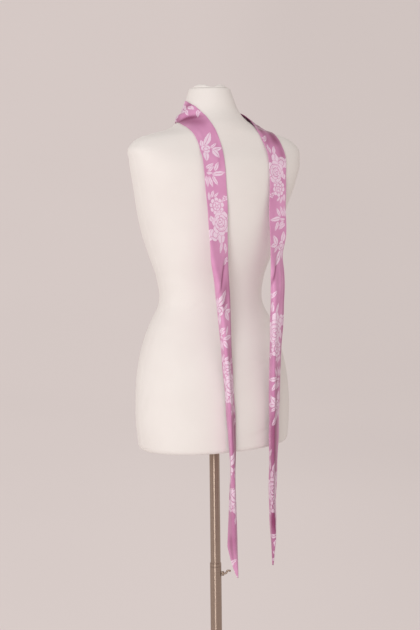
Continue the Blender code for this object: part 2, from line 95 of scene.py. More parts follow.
# Faint creases in the cover: bearing round the form, height, half its length and width, depth, slant
CoverCrease = namedtuple("CoverCrease", "bearing height half_length half_width depth slant")
COVER_CREASES = [
    CoverCrease(107, 0.826, 0.024, 0.0060, 0.0016, 16),
    CoverCrease(112, 0.841, 0.018, 0.0060, 0.0010, 24),
    CoverCrease(116, 0.970, 0.030, 0.0060, 0.0014, 3),
    CoverCrease(133, 1.046, 0.018, 0.0060, 0.0014, -4),
    CoverCrease(54, 1.098, 0.014, 0.0060, 0.0012, 30),
    CoverCrease(8, 0.905, 0.030, 0.0060, 0.0008, 70),
    CoverCrease(186, 0.930, 0.026, 0.0060, 0.0008, -64),
    CoverCrease(248, 0.880, 0.028, 0.0060, 0.0009, 18),
    CoverCrease(296, 0.858, 0.026, 0.0060, 0.0008, -22),
]

# The lip pushed up beside a crease: its share of the depth, and how many half widths away it runs
CREASE_LIP = 0.6
CREASE_LIP_AWAY = 1.6
# The form's mean radius, which turns a bearing into a distance round it
FORM_GIRTH_RADIUS = 0.13
# Points at which the cover's run is measured and the seams are laid, and how deep a seam is sunk, in radii
COVER_SAMPLES = 1200
SEAM_SAMPLES = 260
SEAM_SUNK = 0.45

# Folds of the cover gathered over the neck's flat top: bearing, half its angle, height, radius share
NeckFold = namedtuple("NeckFold", "bearing half_angle height radius spread")
NECK_FOLDS = [
    NeckFold(26, 28, 0.0052, 0.86, 0.12),
    NeckFold(106, 22, 0.0048, 0.84, 0.12),
    NeckFold(68, 8, -0.0012, 0.86, 0.12),
    NeckFold(205, 26, 0.0014, 0.62, 0.16),
    NeckFold(290, 22, 0.0012, 0.70, 0.14),
    NeckFold(150, 12, 0.0016, 0.50, 0.14),
]
# Small puckers between the folds: their height and count, and the radius shares that they lie at
NECK_PUCKER = 0.0005
NECK_PUCKERS = 17
NECK_PUCKER_AT = 0.7
NECK_PUCKER_SPREAD = 0.2
CAP_THICKNESS = 0.0018
CAP_SHARE = 0.97
CAP_RINGS = 24

# Stations down each half of the scarf, as in the solid: the strip's inner edge (out, back, height), the
# heading and lean of its width, and how far the width turns in at a lengthwise fold, and where
Station = namedtuple("Station", "out back height heading lean fold fold_at")
LEFT_HALF = [
    Station(0.000, -0.057, 1.506, -90, 84, 0, 0.55),
    Station(0.020, -0.053, 1.508, -72, 82, 0, 0.55),
    Station(0.038, -0.041, 1.513, -48, 78, -6, 0.55),
    Station(0.048, -0.024, 1.522, -20, 76, -6, 0.55),
    Station(0.0525, -0.010, 1.525, 8, 72, -16, 0.55),
    Station(0.0535, 0.007, 1.5195, 10, 66, -16, 0.50),
    Station(0.050, 0.024, 1.512, 4, 54, -8, 0.45),
    Station(0.047, 0.037, 1.503, -4, 48, -3, 0.50),
    Station(0.0423, 0.053, 1.4915, -8, 39, 0, 0.50),
    Station(0.0387, 0.070, 1.475, -12, 32, 0, 0.50),
    Station(0.035, 0.0815, 1.459, -13, 25, 0, 0.50),
    Station(0.032, 0.0925, 1.4385, -8, 14, 0, 0.50),
    Station(0.034, 0.108, 1.412, 0, 6, 0, 0.50),
    Station(0.036, 0.119, 1.380, 0, 0, 0, 0.60),
    Station(0.036, 0.123, 1.343, 1, 0, 0, 0.80),
    Station(0.034, 0.123, 1.290, 6, 0, 0, 0.92),
    Station(0.034, 0.122, 1.240, 14, 0, 22, 0.95),
    Station(0.033, 0.121, 1.195, 20, 0, 84, 0.91),
    Station(0.031, 0.121, 1.155, 26, 0, 112, 0.79),
    Station(0.029, 0.121, 1.110, 27, 0, 124, 0.65),
    Station(0.028, 0.121, 1.060, 33, 0, 133, 0.59),
    Station(0.026, 0.121, 1.000, 38, 0, 140, 0.56),
    Station(0.022, 0.122, 0.900, 43, 0, 150, 0.56),
    Station(0.019, 0.122, 0.820, 46, 0, 156, 0.56),
    Station(0.021, 0.122, 0.765, 54, 0, 170, 0.56),
    Station(0.021, 0.122, 0.725, 54, 0, 164, 0.56),
    Station(0.020, 0.122, 0.680, 52, 0, 156, 0.55),
    Station(0.019, 0.122, 0.620, 51, 0, 146, 0.53),
    Station(0.018, 0.122, 0.570, 50, 0, 134, 0.52),
    Station(0.017, 0.122, 0.525, 49, 0, 112, 0.52),
]
RIGHT_HALF = [
    Station(0.000, -0.057, 1.506, -90, 84, 0, 0.55),
    Station(0.021, -0.053, 1.506, -76, 80, 0, 0.55),
    Station(0.040, -0.041, 1.507, -62, 74, 0, 0.55),
    Station(0.055, -0.024, 1.506, -50, 64, 0, 0.55),
    Station(0.064, -0.006, 1.504, -40, 48, 0, 0.55),
    Station(0.072, 0.015, 1.497, -30, 33, 0, 0.55),
    Station(0.0755, 0.034, 1.486, -20, 23, 0, 0.50),
    Station(0.0735, 0.053, 1.4735, -13, 18, 0, 0.50),
    Station(0.0702, 0.069, 1.4635, -9, 18, 0, 0.50),
    Station(0.0735, 0.0862, 1.442, -11, 14, 0, 0.50),
    Station(0.075, 0.104, 1.416, -14, 9, 0, 0.50),
    Station(0.072, 0.116, 1.388, -15, 4, 0, 0.40),
    Station(0.070, 0.121, 1.355, -15, 0, 0, 0.20),
    Station(0.0685, 0.121, 1.308, -14, 0, 0, 0.10),
    Station(0.069, 0.122, 1.240, -16, 0, 0, 0.08),
    Station(0.070, 0.123, 1.200, -9, 0, 20, 0.08),
    Station(0.070, 0.123, 1.165, 42, 0, 72, 0.12),
    Station(0.070, 0.123, 1.110, 88, 0, 116, 0.22),
    Station(0.069, 0.122, 1.060, 97, 0, 124, 0.30),
    Station(0.068, 0.121, 1.000, 100, 0, 133, 0.34),
    Station(0.067, 0.120, 0.930, 101, 0, 138, 0.36),
    Station(0.067, 0.119, 0.860, 101, 0, 142, 0.36),
    Station(0.066, 0.119, 0.800, 101, 0, 144, 0.36),
    Station(0.065, 0.120, 0.742, 103, 0, 150, 0.36),
    Station(0.064, 0.120, 0.690, 104, 0, 154, 0.36),
    Station(0.066, 0.120, 0.640, 107, 0, 160, 0.36),
    Station(0.069, 0.120, 0.590, 110, 0, 166, 0.36),
    Station(0.072, 0.120, 0.538, 112, 0, 166, 0.36),
]
SCARF_NODES = ("scarf_throat", "scarf_left_shoulder", "scarf_left_tail", "scarf_right_shoulder",
               "scarf_right_tail")
SCARF_OFF_FORM = 0.0010
REST_PASSES = 3
SCARF_FOLD_BEND = 0.010
SCARF_TIP_WIDTH = 0.002
SCARF_TANGENT_REACH = 0.004
SCARF_SQUARED_UP = 0.5
# The long edges waver a little, over this share of the width; creases die away towards the throat's middle
SCARF_EDGE_WAVER = 0.0005
SCARF_EDGE_REACH = 0.12
# The steps, in degrees, by which a pressed edge rounds, and the share of the width that it may take
SCARF_EDGE_TURNS = (0, 25, 50, 75)
SCARF_EDGE_MOST = 0.4
SCARF_SMOOTH_THROAT = 0.06
LEFT_TIP_HEIGHT = 0.525
LEFT_END_CUT = 0.072
RIGHT_TIP_HEIGHT = 0.538
RIGHT_END_CUT = 0.058

# Soft creases pressed by hand into the satin: distance along from the middle of the throat (the right
# half is negative), share across, half its length, half its width share, height (a trough is negative),
# how far it runs across on the way, and how much shade is painted into its colour (a negative one paints it
# lighter)
ScarfCrease = namedtuple("ScarfCrease", "along across half_length half_width rise drift shade")
SCARF_CREASES = [
    # the collar's crossing fold: a ridge, the hollow above it and the deep one below
    ScarfCrease(0.088, 0.76, 0.016, 0.18, 0.0042, -1.0, 0.0),
    ScarfCrease(0.108, 0.50, 0.024, 0.10, 0.0026, -4.1, 0.0),
    ScarfCrease(0.088, 0.86, 0.014, 0.18, 0.0, 0.0, 0.60),
    ScarfCrease(0.092, 0.26, 0.026, 0.18, -0.0016, -3.0, 0.65),
    ScarfCrease(0.122, 0.66, 0.026, 0.14, -0.0036, -3.4, 0.75),
    ScarfCrease(0.140, 0.66, 0.034, 0.34, -0.0006, -1.0, 0.66),
    ScarfCrease(0.200, 0.75, 0.030, 0.08, 0.0009, 0.3, 0.0),
    ScarfCrease(0.250, 0.22, 0.034, 0.07, -0.0007, 0.4, 0.15),
    # the left strand, where it begins to fold lengthwise
    ScarfCrease(0.500, 0.44, 0.032, 0.07, -0.0026, 3.4, 0.85),
    ScarfCrease(0.545, 0.40, 0.030, 0.20, -0.0006, 0.8, 0.45),
    ScarfCrease(0.600, 0.03, 0.120, 0.06, -0.0008, 0.0, 0.65),
    ScarfCrease(0.720, 0.30, 0.090, 0.26, -0.0008, 0.0, 0.50),
    ScarfCrease(0.730, 0.52, 0.070, 0.06, 0.0014, 0.2, 0.0),
    # the left tail
    ScarfCrease(0.860, 0.16, 0.075, 0.26, -0.0012, 0.0, 0.90),
    ScarfCrease(0.860, 0.52, 0.070, 0.06, -0.0014, 0.6, 0.60),
    ScarfCrease(0.955, 0.14, 0.040, 0.12, -0.0010, -0.5, 0.80),
    ScarfCrease(1.010, 0.50, 0.075, 0.60, 0.0, 0.0, 0.42),
    ScarfCrease(1.020, 0.30, 0.060, 0.16, 0.0012, -0.3, 0.0),
    ScarfCrease(1.075, 0.70, 0.030, 0.14, -0.0010, 0.0, 0.40),
    # the right strand over the shoulder's crest
    ScarfCrease(-0.128, 0.40, 0.044, 0.70, 0.0, 0.0, 1.0),
    ScarfCrease(-0.156, 0.30, 0.024, 0.10, -0.0016, 1.2, 0.70),
    ScarfCrease(-0.182, 0.76, 0.030, 0.26, -0.0008, 0.6, 0.85),
    ScarfCrease(-0.225, 0.82, 0.030, 0.18, 0.0008, 0.3, 0.45),
    ScarfCrease(-0.190, 0.26, 0.026, 0.16, -0.0012, 0.4, 0.50),
    # the right strand, where it begins to fold lengthwise
    ScarfCrease(-0.485, 0.25, 0.028, 0.07, -0.0028, 3.2, 0.85),
    ScarfCrease(-0.500, 0.62, 0.045, 0.09, 0.0018, 0.4, 0.0),
    ScarfCrease(-0.600, 0.93, 0.120, 0.06, -0.0008, 0.0, 0.55),
    ScarfCrease(-0.640, 0.46, 0.060, 0.30, -0.0006, 0.0, 0.30),
    # the right tail
    ScarfCrease(-0.745, 0.62, 0.060, 0.22, -0.0010, 0.0, 0.60),
    ScarfCrease(-0.850, 0.46, 0.070, 0.32, -0.0010, 0.0, 0.92),
    # a ridge at the inner edge painted lighter: its negative painted shade takes away the shade painted
    # round it
    ScarfCrease(-0.850, 0.10, 0.060, 0.05, 0.0010, 0.0, -0.40),
    ScarfCrease(-0.965, 0.44, 0.060, 0.20, -0.0014, 0.2, 0.95),
    ScarfCrease(-1.030, 0.40, 0.030, 0.20, 0.0012, 0.3, 0.70),
    ScarfCrease(-1.090, 0.30, 0.030, 0.20, -0.0010, -0.3, 0.60),
]

# The print's chart, in millimetres, drawn on one repeat of the strip. across is from the inner
# edge, along is down the repeat, turn is 0 down the strip and 90 towards the outer edge.
Petal = namedtuple("Petal", "across along turn length width vein")
Bloom = namedtuple("Bloom", "across along turn radius petals ruffle heart")
PRINT_CHART = [
    # lily
    Petal(40, 48, 217, 43, 15, 0.9),
    Petal(45, 52, 186, 25, 9, 0.5),
    Petal(27, 56, 233, 22, 7, 0.4),
    Petal(24, 61, 260, 25, 11, 0.5),
    Petal(23, 60, 326, 24, 14, 0.7),
    Petal(39, 64, 8, 24, 14, 0.7),
    Bloom(37, 57, 20, 11.0, 3, 0.32, 0.45),
    # leaf spray
    Petal(46, 103, 240, 24, 8, 0.5),
    Petal(42, 109, 234, 20, 7, 0.4),
    Petal(26, 108, 210, 23, 8.5, 0.5),
    Petal(33, 115, 263, 33, 10, 0.6),
    Petal(32, 118, 329, 23, 8.5, 0.5),
    Petal(41, 118, 339, 25, 8, 0.5),
    Petal(47, 117, 352, 25, 7, 0.4),
    Petal(46, 112, 272, 17, 6, 0.0),
    # rosette, with buds round it
    Petal(44, 166, 181, 18, 7, 0.4),
    Petal(39, 161, 207, 18, 7, 0.4),
    Petal(32, 160, 228, 15, 6, 0.0),
    Petal(13, 171, 200, 10, 5, 0.0),
    Bloom(6, 163, 0, 6.0, 5, 0.30, 0.30),
    Bloom(27, 178, 10, 18.0, 9, 0.22, 0.55),
    Bloom(27, 179, 30, 9.0, 5, 0.24, 0.34),
    Bloom(13, 194, 50, 6.5, 4, 0.30, 0.30),
    # peony
    Petal(40, 226, 30, 26, 22, 0.8),
    Bloom(35, 236, 25, 14.0, 4, 0.22, 0.50),
    Petal(17, 234, 8, 24, 20, 0.8),
    Bloom(17, 214, 12, 25.0, 7, 0.20, 0.66),
    Bloom(19, 212, 40, 16.5, 5, 0.26, 0.60),
    Bloom(21, 211, 10, 8.5, 3, 0.30, 0.40),
    Petal(40, 210, 160, 14, 11, 0.6),
    # sprig at the inner edge
    Petal(17, 252, 20, 25, 8.5, 0.5),
    Petal(10, 254, 352, 24, 8.5, 0.5),
    Petal(4, 262, 20, 16, 6, 0.0),
    Petal(3, 283, 36, 22, 8, 0.4),
    Petal(11, 290, 280, 12, 5, 0.0),
]
PRINT_START = 0.180
# Below its twist the left tail shows its other side, where the print comes in elsewhere
PRINT_TURNED_BELOW = 0.945
PRINT_TURNED_BY = 0.105
# In millimetres: how soft an edge is, how far a motif clears what is under it, and how far edges stray
PRINT_EDGE = 0.55
PRINT_OUTLINE = 1.0
PRINT_STRAY = 3.4
# How much of the shade painted into a fold the ink takes on
INK_SHARE_OF_PAINTED_SHADE = 0.42

# The sums that tell where a motif is printed, in millimetres: x and y are from its place, once it is
# turned. A sum works on a motif's sizes, on earlier sums or on numbers; a clamped one stays in 0 to 1.
Sum = namedtuple("Sum", "name operation first second clamped", defaults=(None, False))
PETAL_SUMS = [
    Sum("aside", "ABSOLUTE", "x"),
    Sum("share", "DIVIDE", "y", "Length"),
    Sum("share_left", "SUBTRACT", 1.0, "share"),
    Sum("swell", "POWER", "share", 0.70),
    Sum("outline", "MULTIPLY", "swell", "share_left", True),
    Sum("full_outline", "MULTIPLY", "outline", 1.55),
    Sum("half_width", "MULTIPLY", "full_outline", "Width"),
    Sum("inside", "SUBTRACT", "half_width", "aside"),
    Sum("body", "DIVIDE", "inside", PRINT_EDGE, True),
    Sum("hem", "ADD", "inside", PRINT_OUTLINE),
    Sum("along_petal", "GREATER_THAN", "outline", 0.02),
    Sum("clear", "MULTIPLY", "hem", "along_petal", True),
    Sum("vein_swell", "MULTIPLY", "Vein", "half_width"),
    Sum("half_vein", "DIVIDE", "vein_swell", "Width"),
    Sum("past_vein", "SUBTRACT", "aside", "half_vein"),
    Sum("cut", "DIVIDE", "past_vein", PRINT_EDGE, True),
]
BLOOM_SUMS = [
    Sum("x_square", "MULTIPLY", "x", "x"),
    Sum("y_square", "MULTIPLY", "y", "y"),
    Sum("square", "ADD", "x_square", "y_square"),
    Sum("away", "SQRT", "square"),
    Sum("bearing", "ARCTAN2", "y", "x"),
    Sum("half_petals", "MULTIPLY", "Petals", 0.5),
    Sum("wave", "MULTIPLY", "bearing", "half_petals"),
    Sum("swing", "COSINE", "wave"),
    Sum("lobe", "ABSOLUTE", "swing"),
    Sum("soft_lobe", "POWER", "lobe", 0.6),
    Sum("between_petals", "SUBTRACT", 1.0, "soft_lobe"),
    Sum("drawn_in", "MULTIPLY", "between_petals", "Ruffle"),
    Sum("reach", "SUBTRACT", 1.0, "drawn_in"),
    Sum("rim", "MULTIPLY", "reach", "Radius"),
    Sum("inside", "SUBTRACT", "rim", "away"),
    Sum("body", "DIVIDE", "inside", PRINT_EDGE, True),
    Sum("clear", "ADD", "inside", PRINT_OUTLINE, True),
    Sum("arc", "MULTIPLY", "lobe", "away"),
    Sum("from_parting", "DIVIDE", "arc", "half_petals"),
    Sum("heart", "MULTIPLY", "Radius", "Heart"),
    Sum("from_heart", "SUBTRACT", "away", "heart"),
    Sum("in_heart", "LESS_THAN", "from_heart", 0.0),
    Sum("past_parting", "SUBTRACT", "from_parting", 0.35),
    Sum("whole_in_heart", "ADD", "past_parting", "in_heart"),
    Sum("parted", "DIVIDE", "whole_in_heart", PRINT_EDGE, True),
    Sum("off_ring", "ABSOLUTE", "from_heart"),
    Sum("past_ring", "SUBTRACT", "off_ring", 0.45),
    Sum("ring", "DIVIDE", "past_ring", PRINT_EDGE, True),
    Sum("cut", "MULTIPLY", "parted", "ring"),
]
MOTIF_SUMS = [
    Sum("shown", "MULTIPLY", "body", "cut"),
    Sum("not_cleared", "SUBTRACT", 1.0, "clear"),
    Sum("left_under", "MULTIPLY", "Under", "not_cleared"),
    Sum("printed", "MAXIMUM", "left_under", "shown"),
]

# The bent clamp rod's path: how far out from the pole's axis, how far up, share of the radius
RodPoint = namedtuple("RodPoint", "out up share")
CLAMP_ROD = [
    RodPoint(0.0113, 0.0, 0.80),
    RodPoint(0.0117, 0.0, 0.93),
    RodPoint(0.0200, 0.0, 0.96),
    RodPoint(0.0213, 0.00015, 1.0),
    RodPoint(0.0225, 0.0006, 1.0),
    RodPoint(0.0233, 0.0014, 1.0),
    RodPoint(0.0240, 0.0026, 1.0),
    RodPoint(0.0244, 0.0039, 1.0),
    RodPoint(0.0250, 0.0050, 1.0),
    RodPoint(0.0258, 0.0060, 1.0),
    RodPoint(0.0270, 0.0064, 1.0),
    RodPoint(0.0300, 0.0062, 0.98),
    RodPoint(0.0324, 0.0057, 0.90),
    RodPoint(0.0329, 0.0056, 0.72),
    RodPoint(0.0331, 0.0056, 0.40),
]
CLAMP_HEIGHT = 0.500
CLAMP_BEARING = 150
CLAMP_ROD_SIDES = 20
SHARP_EDGE_DEGREES = 30

# The turned pieces' outlines, as in the solids: down the outer side and up the inner side
TurnedPoint = namedtuple("TurnedPoint", "radius height")


def tube_outline(outer, inner, bottom, top):
    """The outline of a plain tube."""
    return [TurnedPoint(*point) for point in ((outer, top), (outer, bottom), (inner, bottom), (inner, top))]


TURNED_PIECES = {
    "stand_lower_tube": tube_outline(0.0125, 0.0113, 0.0083, 0.517),
    "stand_tube_bushing": [
        TurnedPoint(0.0119, 0.5247),
        TurnedPoint(0.0125, 0.5241),
        TurnedPoint(0.0125, 0.5179),
        TurnedPoint(0.0119, 0.5173),
        TurnedPoint(0.0113, 0.5173),
        TurnedPoint(0.0113, 0.5247),
    ],
    "stand_upper_tube": tube_outline(0.0110, 0.0098, 0.250, 0.7854),
    "stand_foot_collar": [
        TurnedPoint(0.0158, 0.0423),
        TurnedPoint(0.0180, 0.0383),
        TurnedPoint(0.0200, 0.0183),
        TurnedPoint(0.0260, 0.0123),
        TurnedPoint(0.0260, 0.0083),
        TurnedPoint(0.0128, 0.0083),
        TurnedPoint(0.0128, 0.0423),
    ],
}

# Camera, matched to the outline in the photograph
CAMERA_BEARING = 60
CAMERA_DISTANCE = 2.87
CAMERA_HEIGHT = 1.356
CAMERA_SIDESTEP = 0.0061
CAMERA_PITCH = 5.685
CAMERA_ROLL = 0.66
CAMERA_LENS = 76.57
FILM_HEIGHT = 36.0

# The backdrop: a round floor that bends up into a wall, so wide that every view is from inside it
FLOOR_RADIUS = 5.4
BEND_RADIUS = 4.6
WALL_TOP = 11.0
BACKDROP_SIDES = 96
BEND_STEPS = 15
BACKDROP_BELOW_FOOT = 0.0005
# The share of its colour with which the paper answers the lights, and what is left of it at the right,
# where a soft shade is painted
BACKDROP_LIT_SHARE = 0.45
BACKDROP_PAINTED_SHADE_RIGHT = 0.95

# The soft lights: how far towards the camera, to its right and up, the disk's width, and whose power
Light = namedtuple("Light", "name toward right up size power")
LIGHTS = [
    Light("key_light", 3.2, -0.8, 1.6, 1.3, "key"),
    Light("side_light", 0.6, -3.2, 2.0, 2.0, "fill"),
    Light("front_light", -3.0, 1.0, 2.0, 2.0, "fill"),
]
LIGHTS_AIM_HEIGHT = 1.1
ROOM_LIGHT = 0.65


def linear(code):
    """An sRGB hex colour as linear values, with an alpha of 1."""
    channels = [int(code[i:i + 2], 16) / 255 for i in (1, 3, 5)]
    curve = [c / 12.92 if c <= 0.04045 else ((c + 0.055) / 1.055) ** 2.4 for c in channels]
    return (*curve, 1.0)


def set_inputs(tree, node, inputs):
    """Set a node's inputs, and link each one that is given another node's socket."""
    for socket, value in inputs.items():
        if isinstance(value, bpy.types.NodeSocket):
            tree.links.new(value, node.inputs[socket])
        else:
            node.inputs[socket].default_value = value


def add_node(tree, kind, inputs=None, **settings):
    """Add one node to a tree with its settings, and set or link its inputs."""
    node = tree.nodes.new(kind)
    for name, value in settings.items():
        setattr(node, name, value)
    set_inputs(tree, node, inputs or {})
    return node


def new_group(name, kind, inputs, outputs):
    """An empty node group with named sockets: {name: kind of socket}."""
    group = bpy.data.node_groups.new(name, kind)
    for in_out, sockets in (("INPUT", inputs), ("OUTPUT", outputs)):
        for label, socket_kind in sockets.items():
            group.interface.new_socket(label, in_out=in_out, socket_type=socket_kind)
    return group


def set_group_input(modifier, label, value):
    """Set a Geometry Nodes modifier's input by its name."""
    for item in modifier.node_group.interface.items_tree:
        if item.item_type == "SOCKET" and item.in_out == "INPUT" and item.name == label:
            modifier[item.identifier] = value
            return
    raise KeyError(label)


def new_material(name):
    """A material with an empty tree but for its shader and output."""
    material = bpy.data.materials.new(name)
    material.use_nodes = True
    tree = material.node_tree
    shader = tree.nodes["Principled BSDF"]
    return material, tree, shader


def set_material(mesh, material):
    """Give a mesh one material, in place of any that it has."""
    mesh.materials.clear()
    mesh.materials.append(material)


def new_object(name, mesh, material):
    """An object of a mesh in one material, put in the scene."""
    thing = bpy.data.objects.new(name, mesh)
    set_material(mesh, material)
    bpy.context.scene.collection.objects.link(thing)
    return thing


# Shapes


def curve_through(places, values, where):
    """A smooth curve through a table's column."""
    places = np.asarray(places)
    values = np.asarray(values, dtype=float)
    step = np.diff(places)
    rise = np.diff(values) / step
    slope = np.empty_like(values)
    slope[1:-1] = (rise[:-1] * step[1:] + rise[1:] * step[:-1]) / (step[1:] + step[:-1])
    slope[0] = rise[0]
    slope[-1] = rise[-1]
    where = np.clip(where, places[0], places[-1])
    i = np.clip(np.searchsorted(places, where) - 1, 0, len(places) - 2)
    t = (where - places[i]) / step[i]
    start = (1 + 2 * t) * (1 - t) ** 2 * values[i] + t * (1 - t) ** 2 * step[i] * slope[i]
    end = t * t * (3 - 2 * t) * values[i + 1] + t * t * (t - 1) * step[i] * slope[i + 1]
    return start + end


def form_columns(height):
    """The form's ring values at any height."""
    heights = [ring.height for ring in FORM_RINGS]
    return {
        column: curve_through(heights, [getattr(ring, column) for ring in FORM_RINGS], height)
        for column in Ring._fields[1:]
    }


def form_point(bearing, height, inset=0.0):
    """A point on the form's skin, at a bearing from +X round to +Y, moved in by inset."""
    ring = form_columns(height)
    cosine = np.cos(bearing)
    sine = np.sin(bearing)
    behind = np.where(sine >= 0, ring["back"], ring["front"]) - ring["middle"]
    power = 2.0 / ring["square"]
    side = np.sign(cosine) * np.abs(cosine) ** power
    depth = np.abs(sine) ** power
    x = (ring["half_width"] - inset) * side
    y = ring["middle"] + (behind - np.sign(behind) * inset) * depth
    aside = (np.abs(x) - BUST_SIDEWAYS) / BUST_SPREAD
    above = (height - BUST_HEIGHT) / BUST_SPREAD
    y = y - np.where(sine < 0, BUST_SWELL * np.exp(-aside ** 2 - above ** 2) * depth, 0.0)
    return np.stack(np.broadcast_arrays(x, y, height), axis=-1)


def outside_form(point):
    """How far points lie outside the form's rings, and the way straight out of it."""

    def level(at):
        ring = form_columns(at[..., 2])
        behind = at[..., 1] - ring["middle"]
        depth = np.where(behind >= 0, ring["back"] - ring["middle"], ring["middle"] - ring["front"])
        across = (np.abs(at[..., 0]) / ring["half_width"]) ** ring["square"]
        along = (np.abs(behind) / depth) ** ring["square"]
        return (across + along + 1e-12) ** (1 / ring["square"]) - 1

    reach = 0.0001
    axes = np.eye(3) * reach
    slope = np.stack([level(point + axis) - level(point - axis) for axis in axes], axis=-1) / (2 * reach)
    steepness = np.linalg.norm(slope, axis=-1, keepdims=True)
    return level(point) / steepness[..., 0], slope / steepness


def rested_on_form(point):
    """Move points out until they lie clear of the form; below its hem nothing is moved."""
    for _ in range(REST_PASSES):
        distance, outward = outside_form(point)
        lift = np.maximum(SCARF_OFF_FORM - distance, 0.0)
        lift = np.where(point[..., 2] < FORM_BOTTOM, 0.0, lift)
        point = point + outward * lift[..., None]
    return point


def scarf_sections(stations, side, step, across, width, tip_height, end_cut):
    """Points of one half of the scarf, a row for each place down its inner edge, and those places."""
    edge = np.array([(s.out * side, s.back, s.height) for s in stations])
    run = np.concatenate([[0.0], np.cumsum(np.linalg.norm(np.diff(edge, axis=0), axis=1))])
    places = np.linspace(0.0, run[-1], int(round(run[-1] / step)) + 1)

    def column(name, where):
        return curve_through(run, [getattr(station, name) for station in stations], where)

    def inner_edge(where):
        out = column("out", where) * side
        return np.stack([out, column("back", where), column("height", where)], axis=-1)

    after = np.minimum(places + SCARF_TANGENT_REACH, run[-1])
    ahead = inner_edge(after) - inner_edge(np.maximum(places - SCARF_TANGENT_REACH, 0.0))
    ahead /= np.linalg.norm(ahead, axis=1, keepdims=True)
    heading = np.radians(column("heading", places))
    lean = np.radians(column("lean", places))
    fold = np.radians(column("fold", places))
    fold_at = column("fold_at", places)
    width_way = np.stack(
        [side * np.cos(lean) * np.cos(heading), np.cos(lean) * np.sin(heading), -np.sin(lean)], axis=-1)
    width_way -= SCARF_SQUARED_UP * ahead * np.sum(width_way * ahead, axis=1, keepdims=True)
    width_way /= np.linalg.norm(width_way, axis=1, keepdims=True)
    outward = side * np.cross(width_way, ahead)
    outward /= np.linalg.norm(outward, axis=1, keepdims=True)

    point = rested_on_form(inner_edge(places))
    tapered = (point[:, 2] - tip_height) / end_cut * width + SCARF_TIP_WIDTH
    widths = np.minimum(width, tapered)
    rows = [point]
    for k in range(across):
        share = (k + 0.5) / across
        turn = np.clip((share - fold_at) * width / SCARF_FOLD_BEND + 0.5, 0.0, 1.0)
        angle = (fold * turn * turn * (3 - 2 * turn))[:, None]
        aim = width_way * np.cos(angle) - outward * np.sin(angle)
        landed = point + aim * widths[:, None] / across
        for _ in range(REST_PASSES):
            move = rested_on_form(landed) - point
            landed = point + move / np.linalg.norm(move, axis=1, keepdims=True) * widths[:, None] / across
        point = rested_on_form(landed)
        rows.append(point)
    return np.stack(rows, axis=1), places * side, widths


def surface_way_out(grid):
    """The way straight out of a grid of points, at each of them."""
    way = np.cross(np.gradient(grid, axis=1), np.gradient(grid, axis=0))
    return way / np.maximum(np.linalg.norm(way, axis=2, keepdims=True), 1e-12)


def tube_mesh(name, rings, places=None):
    """A closed solid through rings with equal numbers of points; places gives each point its UV."""
    levels, count = rings.shape[:2]
    faces = []
    for level in range(levels - 1):
        low = level * count
        high = low + count
        faces += [(low + i, low + (i + 1) % count, high + (i + 1) % count, high + i) for i in range(count)]
    faces.append(tuple(reversed(range(count))))
    faces.append(tuple(range((levels - 1) * count, levels * count)))
    mesh = bpy.data.meshes.new(name)
    mesh.from_pydata(rings.reshape(-1, 3).tolist(), [], faces)
    if places is not None:
        corners = np.empty(len(mesh.loops), dtype=np.int64)
        mesh.loops.foreach_get("vertex_index", corners)
        layer = mesh.uv_layers.new(name="Strip")
        layer.data.foreach_set("uv", places.reshape(-1, 2)[corners].astype(np.float32).ravel())
    mesh.shade_smooth()
    mesh.update()
    return mesh


def turned_mesh(name, outline, sides):
    """A hollow piece turned about the pole's axis, smooth but for its corners."""
    turn = np.linspace(0.0, 2 * np.pi, sides, endpoint=False)
    points = [(stop.radius * np.cos(t), stop.radius * np.sin(t), stop.height)
              for stop in outline for t in turn]
    faces = []
    for k in range(len(outline)):
        near = k * sides
        far = (k + 1) % len(outline) * sides
        faces += [(near + i, far + i, far + (i + 1) % sides, near + (i + 1) % sides) for i in range(sides)]
    mesh = bpy.data.meshes.new(name)
    mesh.from_pydata(points, [], faces)
    mesh.shade_smooth()
    mesh.set_sharp_from_angle(angle=np.radians(SHARP_EDGE_DEGREES))
    return mesh


